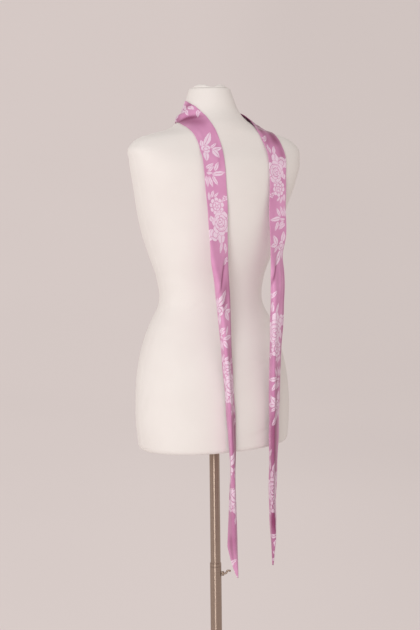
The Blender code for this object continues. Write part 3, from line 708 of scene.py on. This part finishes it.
def scarf_mesh(settings):
    """The whole strip, from the right tip round the throat to the left tip, with its soft creases and the
    shade painted into them.
    """
    left, left_run, left_width = scarf_sections(
        LEFT_HALF, 1, settings.step, settings.across, settings.width, LEFT_TIP_HEIGHT, LEFT_END_CUT)
    right, right_run, right_width = scarf_sections(
        RIGHT_HALF, -1, settings.step, settings.across, settings.width, RIGHT_TIP_HEIGHT, RIGHT_END_CUT)
    grid = np.concatenate([right[::-1], left[1:]])
    run = np.concatenate([right_run[::-1], left_run[1:]])
    widths = np.concatenate([right_width[::-1], left_width[1:]])
    share = np.linspace(0.0, 1.0, settings.across + 1)

    # the creases' rises, and the shade painted into the colour along them
    rise = np.zeros(grid.shape[:2])
    shade = np.zeros(grid.shape[:2])
    for crease in SCARF_CREASES:
        along = (run - crease.along)[:, None] / crease.half_length
        centre = crease.across + crease.drift * along * crease.half_width
        across = (share[None, :] - centre) / crease.half_width
        rise += crease.rise * np.exp(-along ** 2 - across ** 2)
        shade += crease.shade * np.exp(-along ** 4 - across ** 2)
    edge = np.minimum(share, 1.0 - share)[None, :]
    # three waves out of step with one another, so that the edges don't waver regularly
    waver = np.sin(run * 41.0) * np.sin(run * 17.3 + 1.1) + 0.6 * np.sin(run * 73.0 + 0.4)
    rise += SCARF_EDGE_WAVER * waver[:, None] * np.exp(-(edge / SCARF_EDGE_REACH) ** 2)
    free = np.clip(np.abs(run) / SCARF_SMOOTH_THROAT, 0.0, 1.0) * np.clip(widths / settings.width, 0.0, 1.0)
    grid = rested_on_form(grid + surface_way_out(grid) * (rise * free[:, None])[..., None])

    radius = settings.wall / 2
    turns = np.radians(SCARF_EDGE_TURNS)
    from_edge = radius * (1 - np.cos(turns))
    out = surface_way_out(grid)
    middle = grid + out * radius
    rows = []
    places = []
    shades = []
    for i in range(len(grid)):
        near = from_edge / widths[i]
        near = near * min(1.0, SCARF_EDGE_MOST / near[-1])
        stops = np.concatenate([near, share[1:-1], 1.0 - near[::-1]])
        bulge = np.concatenate([np.sin(turns), np.ones(len(share) - 2), np.sin(turns)[::-1]])
        stops = np.sort(stops)
        centre = np.stack([np.interp(stops, share, middle[i, :, k]) for k in range(3)], axis=-1)
        way = np.stack([np.interp(stops, share, out[i, :, k]) for k in range(3)], axis=-1)
        swell = (radius * bulge)[:, None]
        rows.append(np.concatenate([centre + way * swell, (centre - way * swell)[-2:0:-1]]))
        across = stops * widths[i]
        across = np.concatenate([across, across[-2:0:-1]])
        places.append(np.stack([across, np.full(len(across), run[i])], axis=-1))
        # the painted shade at each point of the row
        folded = np.interp(stops, share, shade[i])
        shades.append(np.concatenate([folded, folded[-2:0:-1]]))
    mesh = tube_mesh("scarf", np.stack(rows), np.stack(places))
    # the painted shade, kept on the mesh for the satin's colour
    layer = mesh.attributes.new("Fold shade", "FLOAT", "POINT")
    layer.data.foreach_set("value", np.clip(np.stack(shades), 0.0, 1.0).astype(np.float32).ravel())
    return mesh


def form_rings(sides, level_step):
    """The rings of the body's cover, from the board's recess up to the neck's flat top."""
    bearings = np.linspace(0.0, 2 * np.pi, sides, endpoint=False)

    def ring(height, inset=0.0, at=None):
        points = form_point(bearings, np.full(sides, height), inset)
        points[:, 2] = height if at is None else at
        return points

    rings = [ring(FORM_BOTTOM, BOARD_INSET, FORM_BOTTOM + BOARD_THICKNESS + GAP),
             ring(FORM_BOTTOM, BOARD_INSET)]
    for turn in np.radians(HEM_TURNS):
        rings.append(ring(FORM_BOTTOM, FORM_EDGE_ROUND * (1 - np.sin(turn)),
                          FORM_BOTTOM + FORM_EDGE_ROUND * (1 - np.cos(turn))))
    height = np.linspace(FORM_BOTTOM + FORM_EDGE_ROUND, FORM_TOP - NECK_EDGE_ROUND, COVER_SAMPLES)
    side = form_columns(height)["half_width"]
    run = np.concatenate([[0.0], np.cumsum(np.hypot(np.diff(height), np.diff(side)))])
    count = int(round(run[-1] / level_step))
    stops = np.linspace(0.0, run[-1], count, endpoint=False)
    rings += [ring(value) for value in np.interp(stops, run, height)]
    for turn in np.radians(NECK_TURNS):
        rings.append(ring(FORM_TOP - NECK_EDGE_ROUND * (1 - np.sin(turn)),
                          NECK_EDGE_ROUND * (1 - np.cos(turn))))
    rings = np.stack(rings)

    degrees = np.degrees(bearings)[None, :]
    depth = np.zeros(rings.shape[:2])
    for crease in COVER_CREASES:
        away = np.radians((degrees - crease.bearing + 180) % 360 - 180) * FORM_GIRTH_RADIUS
        above = rings[..., 2] - crease.height
        slant = np.radians(crease.slant)
        along = (away * np.cos(slant) + above * np.sin(slant)) / crease.half_length
        across = (above * np.cos(slant) - away * np.sin(slant)) / crease.half_width
        lip = CREASE_LIP * np.exp(-(across - CREASE_LIP_AWAY) ** 2)
        depth += crease.depth * np.exp(-along ** 2) * (np.exp(-across ** 2) - lip)
    outward = rings - np.array([0.0, 0.0, 1.0]) * rings[..., 2:3]
    outward /= np.linalg.norm(outward, axis=-1, keepdims=True)
    return rings - outward * depth[..., None]


def neck_cover_rings(sides):
    """The gathered end of the cover on the neck's flat top, with its low folds."""
    bearings = np.linspace(0.0, 2 * np.pi, sides, endpoint=False)
    rim = form_point(bearings, np.full(sides, FORM_TOP), NECK_EDGE_ROUND)
    middle = rim.mean(axis=0)

    def ring(share, base, folded):
        points = middle + (rim - middle) * share * CAP_SHARE
        height = np.full(sides, base)
        if folded:
            for fold in NECK_FOLDS:
                away = (np.degrees(bearings) - fold.bearing + 180) % 360 - 180
                off_ridge = (share - fold.radius) / fold.spread
                height += fold.height * np.exp(-(away / fold.half_angle) ** 4 - off_ridge ** 2)
            puckered = np.exp(-((share - NECK_PUCKER_AT) / NECK_PUCKER_SPREAD) ** 2)
            height += NECK_PUCKER * np.sin(bearings * NECK_PUCKERS + 2.0) * puckered
        points[:, 2] = height
        return points

    low = FORM_TOP + GAP
    rings = [ring(0.99, low, False), ring(1.0, low + CAP_THICKNESS * 0.35, False)]
    rings.append(ring(0.99, low + CAP_THICKNESS * 0.75, True))
    rings += [ring(share, low + CAP_THICKNESS, True) for share in np.linspace(0.96, 0.05, CAP_RINGS)]
    return np.stack(rings)


# Materials


def motif_group(kind, sums):
    """A node group that prints one motif over what is printed already, on a cleared outline."""
    sizes = [name.capitalize() for name in kind._fields if name not in ("across", "along")] + ["Under"]
    inputs = {"At": "NodeSocketVector", "Place": "NodeSocketVector"}
    inputs |= {label: "NodeSocketFloat" for label in sizes}
    group = new_group("Printed " + kind.__name__.lower(), "ShaderNodeTree", inputs,
                      {"Printed": "NodeSocketFloat"})
    given = add_node(group, "NodeGroupInput").outputs
    off = add_node(group, "ShaderNodeVectorMath", {0: given["At"], 1: given["Place"]}, operation="SUBTRACT")
    turned = add_node(group, "ShaderNodeVectorRotate", {"Vector": off.outputs[0], "Angle": given["Turn"]},
                      rotation_type="Z_AXIS")
    parts = add_node(group, "ShaderNodeSeparateXYZ", {0: turned.outputs[0]})
    known = {label: given[label] for label in sizes}
    known |= {"x": parts.outputs[0], "y": parts.outputs[1]}
    for row in sums + MOTIF_SUMS:
        values = [known.get(value, value) for value in (row.first, row.second) if value is not None]
        node = add_node(group, "ShaderNodeMath", dict(enumerate(values)), operation=row.operation,
                        use_clamp=row.clamped)
        known[row.name] = node.outputs[0]
    add_node(group, "NodeGroupOutput", {0: known["printed"]})
    return group


def print_place(tree, strip, settings):
    """Where on the print's chart a point of the strip lies, in millimetres."""
    parts = add_node(tree, "ShaderNodeSeparateXYZ", {0: strip})
    across = add_node(tree, "ShaderNodeMath", {0: parts.outputs[0], 1: 1 / MILLIMETRE}, operation="MULTIPLY")
    started = add_node(tree, "ShaderNodeMath", {0: parts.outputs[1], 1: PRINT_START}, operation="SUBTRACT")
    turned = add_node(tree, "ShaderNodeMath", {0: parts.outputs[1], 1: PRINT_TURNED_BELOW},
                      operation="GREATER_THAN")
    placed = add_node(tree, "ShaderNodeMath", {
        0: turned.outputs[0], 1: PRINT_TURNED_BY, 2: started.outputs[0]}, operation="MULTIPLY_ADD")
    wrapped = add_node(tree, "ShaderNodeMath", {0: placed.outputs[0], 1: settings.repeat, 2: 0.0},
                       operation="WRAP")
    along = add_node(tree, "ShaderNodeMath", {0: wrapped.outputs[0], 1: 1 / MILLIMETRE},
                     operation="MULTIPLY")
    flat = add_node(tree, "ShaderNodeCombineXYZ", {0: across.outputs[0], 1: along.outputs[0]})
    # a hand-drawn edge: the outline strays by about 0.8 mm over 6 mm
    stray = add_node(tree, "ShaderNodeTexNoise", {"Vector": strip, "Scale": 170.0, "Detail": 2.0})
    centred = add_node(tree, "ShaderNodeVectorMath", {0: stray.outputs["Color"], 1: (0.5, 0.5, 0.5)},
                       operation="SUBTRACT")
    reach = (PRINT_STRAY, PRINT_STRAY, 0.0)
    strayed = add_node(tree, "ShaderNodeVectorMath", {0: centred.outputs[0], 1: reach, 2: flat.outputs[0]},
                       operation="MULTIPLY_ADD")
    return strayed.outputs[0]


def chart_print(tree, at):
    """Print the chart's motifs one over another: how much ink lies at a place."""
    groups = {Petal: motif_group(Petal, PETAL_SUMS), Bloom: motif_group(Bloom, BLOOM_SUMS)}
    printed = 0.0
    for motif in PRINT_CHART:
        inputs = {name.capitalize(): value for name, value in motif._asdict().items()}
        inputs |= {"Place": (inputs.pop("Across"), inputs.pop("Along"), 0.0), "Turn": np.radians(motif.turn)}
        inputs |= {"At": at, "Under": printed}
        printed = add_node(tree, "ShaderNodeGroup", inputs, node_tree=groups[type(motif)]).outputs[0]
    return printed


def mixed(tree, factor, first, second):
    """A colour between two, by a factor."""
    node = add_node(tree, "ShaderNodeMix", {0: factor, 6: first, 7: second}, data_type="RGBA")
    return node.outputs[2]


def mottled(tree, texture, deep, pale, low=0.30, high=0.70):
    """A colour that wanders between a deep and a pale one as a texture does."""
    shade = add_node(tree, "ShaderNodeMapRange", {0: texture.outputs["Fac"], 1: low, 2: high})
    return mixed(tree, shade.outputs[0], deep, pale)


def printed_satin(settings):
    """Polyester satin, woven with long floats and screen printed: a soft sheen along the strip, pale
    and slightly duller where the ink lies, and with shade painted deeper into its folds."""
    material, tree, shader = new_material("Printed polyester satin")
    strip = add_node(tree, "ShaderNodeUVMap", uv_map="Strip").outputs[0]
    printed = chart_print(tree, print_place(tree, strip, settings))
    # the ink is a little uneven, as screened ink on a smooth cloth is
    uneven = add_node(tree, "ShaderNodeTexNoise", {"Vector": strip, "Scale": 260.0, "Detail": 3.0})
    ink = add_node(tree, "ShaderNodeMapRange", {0: uneven.outputs["Fac"], 1: 0.30, 2: 0.70, 3: 0.86, 4: 1.0})
    inked = add_node(tree, "ShaderNodeMath", {0: printed, 1: ink.outputs[0]}, operation="MULTIPLY")
    patch = add_node(tree, "ShaderNodeTexNoise", {"Vector": strip, "Scale": 22.0, "Detail": 2.0})
    ground = mottled(tree, patch, settings.ground_deep, settings.ground)
    # painted shade: folded satin turns its floats away from the light, so a deeper colour is painted into
    # its folds, and the ink takes less of it
    fold = add_node(tree, "ShaderNodeAttribute", attribute_name="Fold shade").outputs["Fac"]
    ink_painted_shade = add_node(tree, "ShaderNodeMath", {0: fold, 1: INK_SHARE_OF_PAINTED_SHADE}, operation="MULTIPLY")
    sunk = mixed(tree, fold, ground, settings.ground_fold)
    motif_with_painted_shade = mixed(tree, ink_painted_shade.outputs[0], settings.motif, settings.ground_fold)
    gloss = add_node(tree, "ShaderNodeMapRange", {0: inked.outputs[0], 3: 0.36, 4: 0.50})
    # satin floats are about 0.25 mm apart; drawn at 0.9 mm so that they show
    floats = add_node(tree, "ShaderNodeTexWave", {"Vector": strip, "Scale": 350.0, "Distortion": 2.0,
                                                  "Detail": 1.0}, bands_direction="X")
    weave = add_node(tree, "ShaderNodeBump", {"Strength": 0.10, "Distance": 0.0003,
                                              "Height": floats.outputs["Fac"]})
    ripple = add_node(tree, "ShaderNodeTexNoise", {"Vector": strip, "Scale": 34.0, "Detail": 2.0})
    drape = add_node(tree, "ShaderNodeBump", {"Strength": 0.25, "Distance": 0.004,
                                              "Height": ripple.outputs["Fac"], "Normal": weave.outputs[0]})
    warp = add_node(tree, "ShaderNodeTangent", direction_type="UV_MAP", uv_map="Strip")
    set_inputs(tree, shader, {
        "Base Color": mixed(tree, inked.outputs[0], sunk, motif_with_painted_shade), "Roughness": gloss.outputs[0],
        "Normal": drape.outputs[0], "Tangent": warp.outputs[0], "IOR": 1.55, "Specular IOR Level": 0.26,
        "Anisotropic": 0.55, "Sheen Weight": 0.04, "Sheen Roughness": 0.45})
    return material


def cotton_jersey(settings):
    """Cream cotton single jersey: matt, with fine upright wales and a faint fuzz."""
    material, tree, shader = new_material("Cotton single jersey")
    place = add_node(tree, "ShaderNodeTexCoord").outputs["Object"]
    mottle = add_node(tree, "ShaderNodeTexNoise", {"Vector": place, "Scale": 9.0, "Detail": 3.0})
    # wales are about 1 mm apart; the noise is squeezed upright so that they run up the form
    squeezed = add_node(tree, "ShaderNodeMapping", {"Vector": place, "Scale": (900.0, 900.0, 190.0)})
    wales = add_node(tree, "ShaderNodeTexNoise", {"Vector": squeezed.outputs[0], "Scale": 1.0,
                                                  "Detail": 2.0})
    knit = add_node(tree, "ShaderNodeBump", {"Strength": 0.35, "Distance": 0.0004,
                                             "Height": wales.outputs["Fac"]})
    pad = add_node(tree, "ShaderNodeTexNoise", {"Vector": place, "Scale": 14.0, "Detail": 1.0})
    soft = add_node(tree, "ShaderNodeBump", {"Strength": 0.10, "Distance": 0.004,
                                             "Height": pad.outputs["Fac"], "Normal": knit.outputs[0]})
    set_inputs(tree, shader, {
        "Base Color": mottled(tree, mottle, settings.jersey_deep, settings.jersey),
        "Normal": soft.outputs[0], "Roughness": 0.92, "IOR": 1.45, "Specular IOR Level": 0.25,
        "Sheen Weight": 0.20, "Sheen Roughness": 0.60, "Sheen Tint": settings.jersey})
    return material


def birch_plywood(settings):
    """Birch plywood, sawn and sanded: pale face grain, and thin plies at its edge."""
    material, tree, shader = new_material("Sanded birch plywood")
    place = add_node(tree, "ShaderNodeTexCoord").outputs["Object"]
    drawn = add_node(tree, "ShaderNodeMapping", {"Vector": place, "Scale": (8.0, 150.0, 700.0)})
    grain = add_node(tree, "ShaderNodeTexNoise", {"Vector": drawn.outputs[0], "Scale": 1.0, "Detail": 4.0,
                                                  "Distortion": 0.4})
    relief = add_node(tree, "ShaderNodeBump", {"Strength": 0.15, "Distance": 0.0004,
                                               "Height": grain.outputs["Fac"]})
    set_inputs(tree, shader, {
        "Base Color": mottled(tree, grain, settings.board_deep, settings.board, 0.35, 0.65),
        "Normal": relief.outputs[0], "Roughness": 0.62})
    return material


def ground_nickel(settings):
    """Steel tube, ground round and nickel plated: fine lines round the pole, which draw the lights out
    into one long warm highlight up it."""
    material, tree, shader = new_material("Ground nickel-plated steel")
    place = add_node(tree, "ShaderNodeTexCoord").outputs["Object"]
    # grinding lines are about 0.2 mm apart; drawn at 1 mm so that they show
    drawn = add_node(tree, "ShaderNodeMapping", {"Vector": place, "Scale": (12.0, 12.0, 1000.0)})
    grind = add_node(tree, "ShaderNodeTexNoise", {"Vector": drawn.outputs[0], "Scale": 1.0, "Detail": 3.0})
    rough = add_node(tree, "ShaderNodeMapRange", {0: grind.outputs["Fac"], 1: 0.30, 2: 0.70, 3: 0.36,
                                                  4: 0.42})
    relief = add_node(tree, "ShaderNodeBump", {"Strength": 0.05, "Distance": 0.0002,
                                               "Height": grind.outputs["Fac"]})
    round_pole = add_node(tree, "ShaderNodeTangent", direction_type="RADIAL", axis="Z")
    set_inputs(tree, shader, {
        "Base Color": mottled(tree, grind, settings.metal_deep, settings.metal),
        "Roughness": rough.outputs[0], "Normal": relief.outputs[0], "Tangent": round_pole.outputs[0],
        "Metallic": 1.0, "Anisotropic": 0.98, "Anisotropic Rotation": 0.25})
    return material


def backdrop_paper(settings, right):
    """Matt paper, in one sweep: evenly lit, with a soft shade painted in that darkens it a little to the
    right.
    """
    material, tree, shader = new_material("Matt backdrop paper")
    place = add_node(tree, "ShaderNodeTexCoord").outputs["Object"]
    cloud = add_node(tree, "ShaderNodeTexNoise", {"Vector": place, "Scale": 0.8, "Detail": 1.0})
    value = add_node(tree, "ShaderNodeMapRange", {0: cloud.outputs["Fac"], 3: 0.985, 4: 1.015})
    aside = add_node(tree, "ShaderNodeVectorMath", {0: place, 1: right}, operation="DOT_PRODUCT")
    # painted shade: the paper's colour and glow fall off a little towards the right
    painted_side_shade = add_node(tree, "ShaderNodeMapRange", {
        0: aside.outputs["Value"], 1: -0.3, 2: 1.0, 3: 1.0, 4: BACKDROP_PAINTED_SHADE_RIGHT},
        interpolation_type="SMOOTHSTEP")
    level = add_node(tree, "ShaderNodeMath", {0: value.outputs[0], 1: painted_side_shade.outputs[0]}, operation="MULTIPLY")
    tinted = add_node(tree, "ShaderNodeVectorMath", {0: settings.paper[:3], "Scale": level.outputs[0]},
                      operation="SCALE")
    dimmed = add_node(tree, "ShaderNodeVectorMath", {0: tinted.outputs[0], "Scale": BACKDROP_LIT_SHARE},
                      operation="SCALE")
    set_inputs(tree, shader, {
        "Base Color": dimmed.outputs[0], "Emission Color": tinted.outputs[0],
        "Emission Strength": settings.paper_glow, "Roughness": 1.0, "Specular IOR Level": 0.0})
    return material


# Pieces made by Geometry Nodes


def follow_path_group():
    """A round cord or rod swept along a curve, in one material."""
    group = new_group("Swept along a path", "GeometryNodeTree", {
        "Geometry": "NodeSocketGeometry", "Radius": "NodeSocketFloat", "Sides": "NodeSocketInt",
        "Material": "NodeSocketMaterial"}, {"Geometry": "NodeSocketGeometry"})
    given = add_node(group, "NodeGroupInput").outputs
    profile = add_node(group, "GeometryNodeCurvePrimitiveCircle",
                       {"Resolution": given["Sides"], "Radius": given["Radius"]})
    swept = add_node(group, "GeometryNodeCurveToMesh",
                     {"Curve": given["Geometry"], "Profile Curve": profile.outputs[0], "Fill Caps": True})
    smooth = add_node(group, "GeometryNodeSetShadeSmooth", {"Geometry": swept.outputs[0]})
    real = add_node(group, "GeometryNodeRealizeInstances", {"Geometry": smooth.outputs[0]})
    finished = add_node(group, "GeometryNodeSetMaterial",
                        {"Geometry": real.outputs[0], "Material": given["Material"]})
    add_node(group, "NodeGroupOutput", {0: finished.outputs[0]})
    return group


def swept_piece(name, points, shares, radius, sides, material):
    """A plain mesh of a rod or cord along points, made with Geometry Nodes and then applied."""
    curve = bpy.data.curves.new(name, "CURVE")
    curve.dimensions = "3D"
    spline = curve.splines.new("POLY")
    spline.points.add(len(points) - 1)
    for stop, point, share in zip(spline.points, points, shares):
        stop.co = (*point, 1.0)
        stop.radius = share
    path = bpy.data.objects.new(name + "_path", curve)
    bpy.context.scene.collection.objects.link(path)
    sweep = path.modifiers.new("Sweep", "NODES")
    sweep.node_group = bpy.data.node_groups.get("Swept along a path") or follow_path_group()
    set_group_input(sweep, "Radius", radius)
    set_group_input(sweep, "Sides", sides)
    set_group_input(sweep, "Material", material)
    return applied_piece(name, path)


def applied_piece(name, source):
    """The evaluated shape of an object as a plain mesh object; the source is removed."""
    bpy.context.view_layer.update()
    evaluated = source.evaluated_get(bpy.context.evaluated_depsgraph_get())
    mesh = bpy.data.meshes.new_from_object(evaluated)
    mesh.name = name
    mesh.transform(source.matrix_world)
    bpy.data.objects.remove(source, do_unlink=True)
    piece = bpy.data.objects.new(name, mesh)
    bpy.context.scene.collection.objects.link(piece)
    return piece


# Settings, operators and the panel


# What every colour setting has
COLOUR = {"subtype": "COLOR", "size": 4, "min": 0.0, "max": 1.0}


class ScarfSettings(PropertyGroup):
    width: FloatProperty(name="Width", description="Width of the flat double strip", default=0.050,
                         min=0.02, max=0.10, unit="LENGTH")
    wall: FloatProperty(name="Thickness", description="Thickness of the pressed double strip",
                        default=0.0014, min=0.0005, max=0.003, unit="LENGTH")
    step: FloatProperty(name="Step", description="Distance between rows of the mesh along the strip",
                        default=0.005, min=0.002, max=0.02, unit="LENGTH")
    across: IntProperty(name="Across", description="Steps of the mesh across the strip", default=24, min=8)
    repeat: FloatProperty(name="Print repeat", description="Length of one repeat of the print",
                          default=0.335, min=0.1, max=1.0, unit="LENGTH")
    ground: FloatVectorProperty(name="Ground", description="Colour of the unprinted satin",
                                default=linear("#E1A3CB"), **COLOUR)
    ground_deep: FloatVectorProperty(name="Ground, deep", description="Darker passages of the dyed ground",
                                     default=linear("#D491BC"), **COLOUR)
    # the colour of the shade painted deep in a fold
    ground_fold: FloatVectorProperty(name="Painted fold shade", description="Colour of the shade painted deep in a fold",
                                     default=linear("#8E446C"), **COLOUR)
    motif: FloatVectorProperty(name="Motifs", description="Colour of the printed flowers and leaves",
                               default=linear("#F4E0F1"), **COLOUR)


class FormSettings(PropertyGroup):
    sides: IntProperty(name="Sides", description="Points round each ring of the cover", default=120, min=24)
    level_step: FloatProperty(name="Ring step", description="Distance between the cover's rings",
                              default=0.0035, min=0.002, max=0.05, unit="LENGTH")
    seam_radius: FloatProperty(name="Seam", description="Radius of the cover's side seams", default=0.0007,
                               min=0.0002, max=0.003, unit="LENGTH")
    jersey: FloatVectorProperty(name="Jersey", description="Colour of the cover",
                                default=linear("#EEECE8"), **COLOUR)
    jersey_deep: FloatVectorProperty(name="Jersey, deep", description="Darker passages of the cover",
                                     default=linear("#EAE7E3"), **COLOUR)
    board: FloatVectorProperty(name="Board", description="Colour of the plywood",
                               default=linear("#D2B68C"), **COLOUR)
    board_deep: FloatVectorProperty(name="Board grain", description="Colour of the plywood's grain",
                                    default=linear("#B08F62"), **COLOUR)


class StandSettings(PropertyGroup):
    rod_radius: FloatProperty(name="Clamp rod", description="Radius of the bent clamp rod", default=0.0022,
                              min=0.001, max=0.005, unit="LENGTH")
    sides: IntProperty(name="Sides", description="Points round each turned piece", default=72, min=24)
    metal: FloatVectorProperty(name="Metal", description="Colour of the ground nickel",
                               default=linear("#BEAC9E"), **COLOUR)
    metal_deep: FloatVectorProperty(name="Metal, deep", description="Colour between the grinding lines",
                                    default=linear("#A59385"), **COLOUR)


class StageSettings(PropertyGroup):
    paper: FloatVectorProperty(name="Backdrop", description="Colour of the floor and the backdrop",
                               default=linear("#D6CCC9"), **COLOUR)
    paper_glow: FloatProperty(name="Backdrop glow", description="How evenly the backdrop is lit by itself",
                              default=0.70, min=0.0)
    key: FloatProperty(name="Key light", description="Power of the soft light beside the camera",
                       default=41.5, min=0.0, unit="POWER")
    fill: FloatProperty(name="Fill light", description="Power of the fill lights", default=5.0, min=0.0,
                        unit="POWER")


class MakeScarf(Operator):
    """Make the printed satin scarf in one strip"""
    bl_idname = "dress_form.make_scarf"
    bl_label = "Scarf"

    def execute(self, context):
        settings = context.scene.scarf
        scarf = new_object("scarf", scarf_mesh(settings), printed_satin(settings))
        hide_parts(*SCARF_NODES)
        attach(scarf, "form")
        return {"FINISHED"}


class MakeForm(Operator):
    """Make the form's padded body in its jersey cover, the gathered neck cover, and finish the board"""
    bl_idname = "dress_form.make_form"
    bl_label = "Form"

    def execute(self, context):
        settings = context.scene.form
        jersey = cotton_jersey(settings)
        rings = form_rings(settings.sides, settings.level_step)
        body = new_object("form_cover", tube_mesh("form_cover", rings), jersey)
        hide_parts("form_torso")
        rings = neck_cover_rings(settings.sides)
        neck = new_object("form_neck_gathers", tube_mesh("form_neck_gathers", rings), jersey)
        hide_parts("form_neck_cover")
        pieces = [body, neck]
        heights = np.linspace(FORM_BOTTOM + FORM_EDGE_ROUND, FORM_TOP - NECK_EDGE_ROUND, SEAM_SAMPLES)
        for name, bearing in (("form_left_seam", 0.0), ("form_right_seam", np.pi)):
            points = form_point(np.full(SEAM_SAMPLES, bearing), heights, settings.seam_radius * SEAM_SUNK)
            pieces.append(swept_piece(name, points, np.ones(len(points)), settings.seam_radius, 8, jersey))
        for piece in pieces:
            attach(piece, "form")
        set_material(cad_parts["form_base_board"].data, birch_plywood(settings))
        return {"FINISHED"}


class MakeStand(Operator):
    """Make the stand's tubes, collar and bent clamp rod, and finish its foot and fittings"""
    bl_idname = "dress_form.make_stand"
    bl_label = "Stand"

    def execute(self, context):
        settings = context.scene.stand
        nickel = ground_nickel(settings)
        for name, outline in TURNED_PIECES.items():
            piece = new_object(name + "_turned", turned_mesh(name, outline, settings.sides), nickel)
            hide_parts(name)
            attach(piece, "mast" if name == "stand_upper_tube" else "stand")
        for name in ("form_pole_socket", "stand_foot", "clamp_boss"):
            set_material(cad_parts[name].data, nickel)
        bearing = np.radians(CLAMP_BEARING)
        way = np.array([np.cos(bearing), np.sin(bearing), 0.0])
        points = [way * stop.out + np.array([0.0, 0.0, CLAMP_HEIGHT + stop.up]) for stop in CLAMP_ROD]
        shares = [stop.share for stop in CLAMP_ROD]
        rod = swept_piece("clamp_rod", points, shares, settings.rod_radius, CLAMP_ROD_SIDES, nickel)
        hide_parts("clamp_screw")
        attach(rod, "clamp")
        return {"FINISHED"}


def backdrop_mesh():
    """A round floor, a bend and a wall, in one smooth sweep."""
    turn = np.linspace(0.0, 2 * np.pi, BACKDROP_SIDES, endpoint=False)
    sweep = [(FLOOR_RADIUS, 0.0)]
    sweep += [(FLOOR_RADIUS + BEND_RADIUS * np.sin(a), BEND_RADIUS * (1 - np.cos(a)))
              for a in np.linspace(0.0, np.pi / 2, BEND_STEPS + 1)[1:]]
    sweep.append((FLOOR_RADIUS + BEND_RADIUS, WALL_TOP))
    points = [(0.0, 0.0, 0.0)] + [(r * np.cos(t), r * np.sin(t), z) for r, z in sweep for t in turn]
    following = [(i, (i + 1) % BACKDROP_SIDES) for i in range(BACKDROP_SIDES)]
    faces = [(0, 1 + i, 1 + j) for i, j in following]
    for low in range(1, 1 + (len(sweep) - 1) * BACKDROP_SIDES, BACKDROP_SIDES):
        high = low + BACKDROP_SIDES
        faces += [(low + i, high + i, high + j, low + j) for i, j in following]
    mesh = bpy.data.meshes.new("backdrop")
    mesh.from_pydata(points, [], faces)
    mesh.shade_smooth()
    return mesh


def camera_matrix(toward_camera, right, up):
    """Where the camera stands and how it is turned."""
    pitch = np.radians(CAMERA_PITCH)
    roll = np.radians(CAMERA_ROLL)
    forward = -toward_camera * np.cos(pitch) - up * np.sin(pitch)
    above = right.cross(forward)
    across = right * np.cos(roll) - above * np.sin(roll)
    above = above * np.cos(roll) + right * np.sin(roll)
    place = toward_camera * CAMERA_DISTANCE - right * CAMERA_SIDESTEP + up * CAMERA_HEIGHT
    return Matrix.Translation(place) @ Matrix((across, above, -forward)).transposed().to_4x4()


class MakeStage(Operator):
    """Make the floor and backdrop in one sweep, the soft lights and the camera"""
    bl_idname = "dress_form.make_stage"
    bl_label = "Stage"

    def execute(self, context):
        settings = context.scene.stage
        bearing = np.radians(CAMERA_BEARING)
        toward_camera = Vector((np.cos(bearing), np.sin(bearing), 0.0))
        up = Vector((0.0, 0.0, 1.0))
        right = (-toward_camera).cross(up)
        backdrop = new_object("backdrop", backdrop_mesh(), backdrop_paper(settings, right))
        backdrop.location.z = -BACKDROP_BELOW_FOOT

        aim = up * LIGHTS_AIM_HEIGHT
        for row in LIGHTS:
            place = toward_camera * row.toward + right * row.right + up * row.up
            light = bpy.data.lights.new(row.name, "AREA")
            light.shape = "DISK"
            light.size = row.size
            light.energy = getattr(settings, row.power)
            lamp = bpy.data.objects.new(row.name, light)
            lamp.location = place
            lamp.rotation_euler = (aim - place).to_track_quat("-Z", "Y").to_euler()
            context.scene.collection.objects.link(lamp)
        world = bpy.data.worlds.new("Studio")
        world.use_nodes = True
        set_inputs(world.node_tree, world.node_tree.nodes["Background"],
                   {"Color": linear("#F2EEEC"), "Strength": ROOM_LIGHT})
        context.scene.world = world
        context.scene.view_settings.view_transform = "Standard"

        lens = bpy.data.cameras.new("camera")
        lens.sensor_fit = "VERTICAL"
        lens.sensor_height = FILM_HEIGHT
        lens.lens = CAMERA_LENS
        camera = bpy.data.objects.new("camera", lens)
        camera.matrix_world = camera_matrix(toward_camera, right, up)
        context.scene.collection.objects.link(camera)
        context.scene.camera = camera
        return {"FINISHED"}


class ScarfPanel(Panel):
    """Lists the pieces and their settings"""
    bl_label = "Scarf on a dress form"
    bl_idname = "VIEW3D_PT_scarf_on_form"
    bl_space_type = "VIEW_3D"
    bl_region_type = "UI"
    bl_category = "Scarf"

    def draw(self, context):
        for owner, operator in ((context.scene.scarf, MakeScarf), (context.scene.form, MakeForm),
                                (context.scene.stand, MakeStand), (context.scene.stage, MakeStage)):
            box = self.layout.box()
            box.operator(operator.bl_idname)
            for name in owner.__annotations__:
                box.prop(owner, name)


SETTINGS = {"scarf": ScarfSettings, "form": FormSettings, "stand": StandSettings, "stage": StageSettings}
CLASSES = (*SETTINGS.values(), MakeStage, MakeForm, MakeStand, MakeScarf, ScarfPanel)


def register():
    for item in CLASSES:
        bpy.utils.register_class(item)
    for name, item in SETTINGS.items():
        setattr(bpy.types.Scene, name, PointerProperty(type=item))


def unregister():
    for name in SETTINGS:
        delattr(bpy.types.Scene, name)
    for item in reversed(CLASSES):
        bpy.utils.unregister_class(item)


def main():
    register()
    bpy.ops.dress_form.make_stage()
    bpy.ops.dress_form.make_form()
    bpy.ops.dress_form.make_stand()
    bpy.ops.dress_form.make_scarf()
    bpy.context.view_layer.update()


if __name__ == "__main__":
    main()
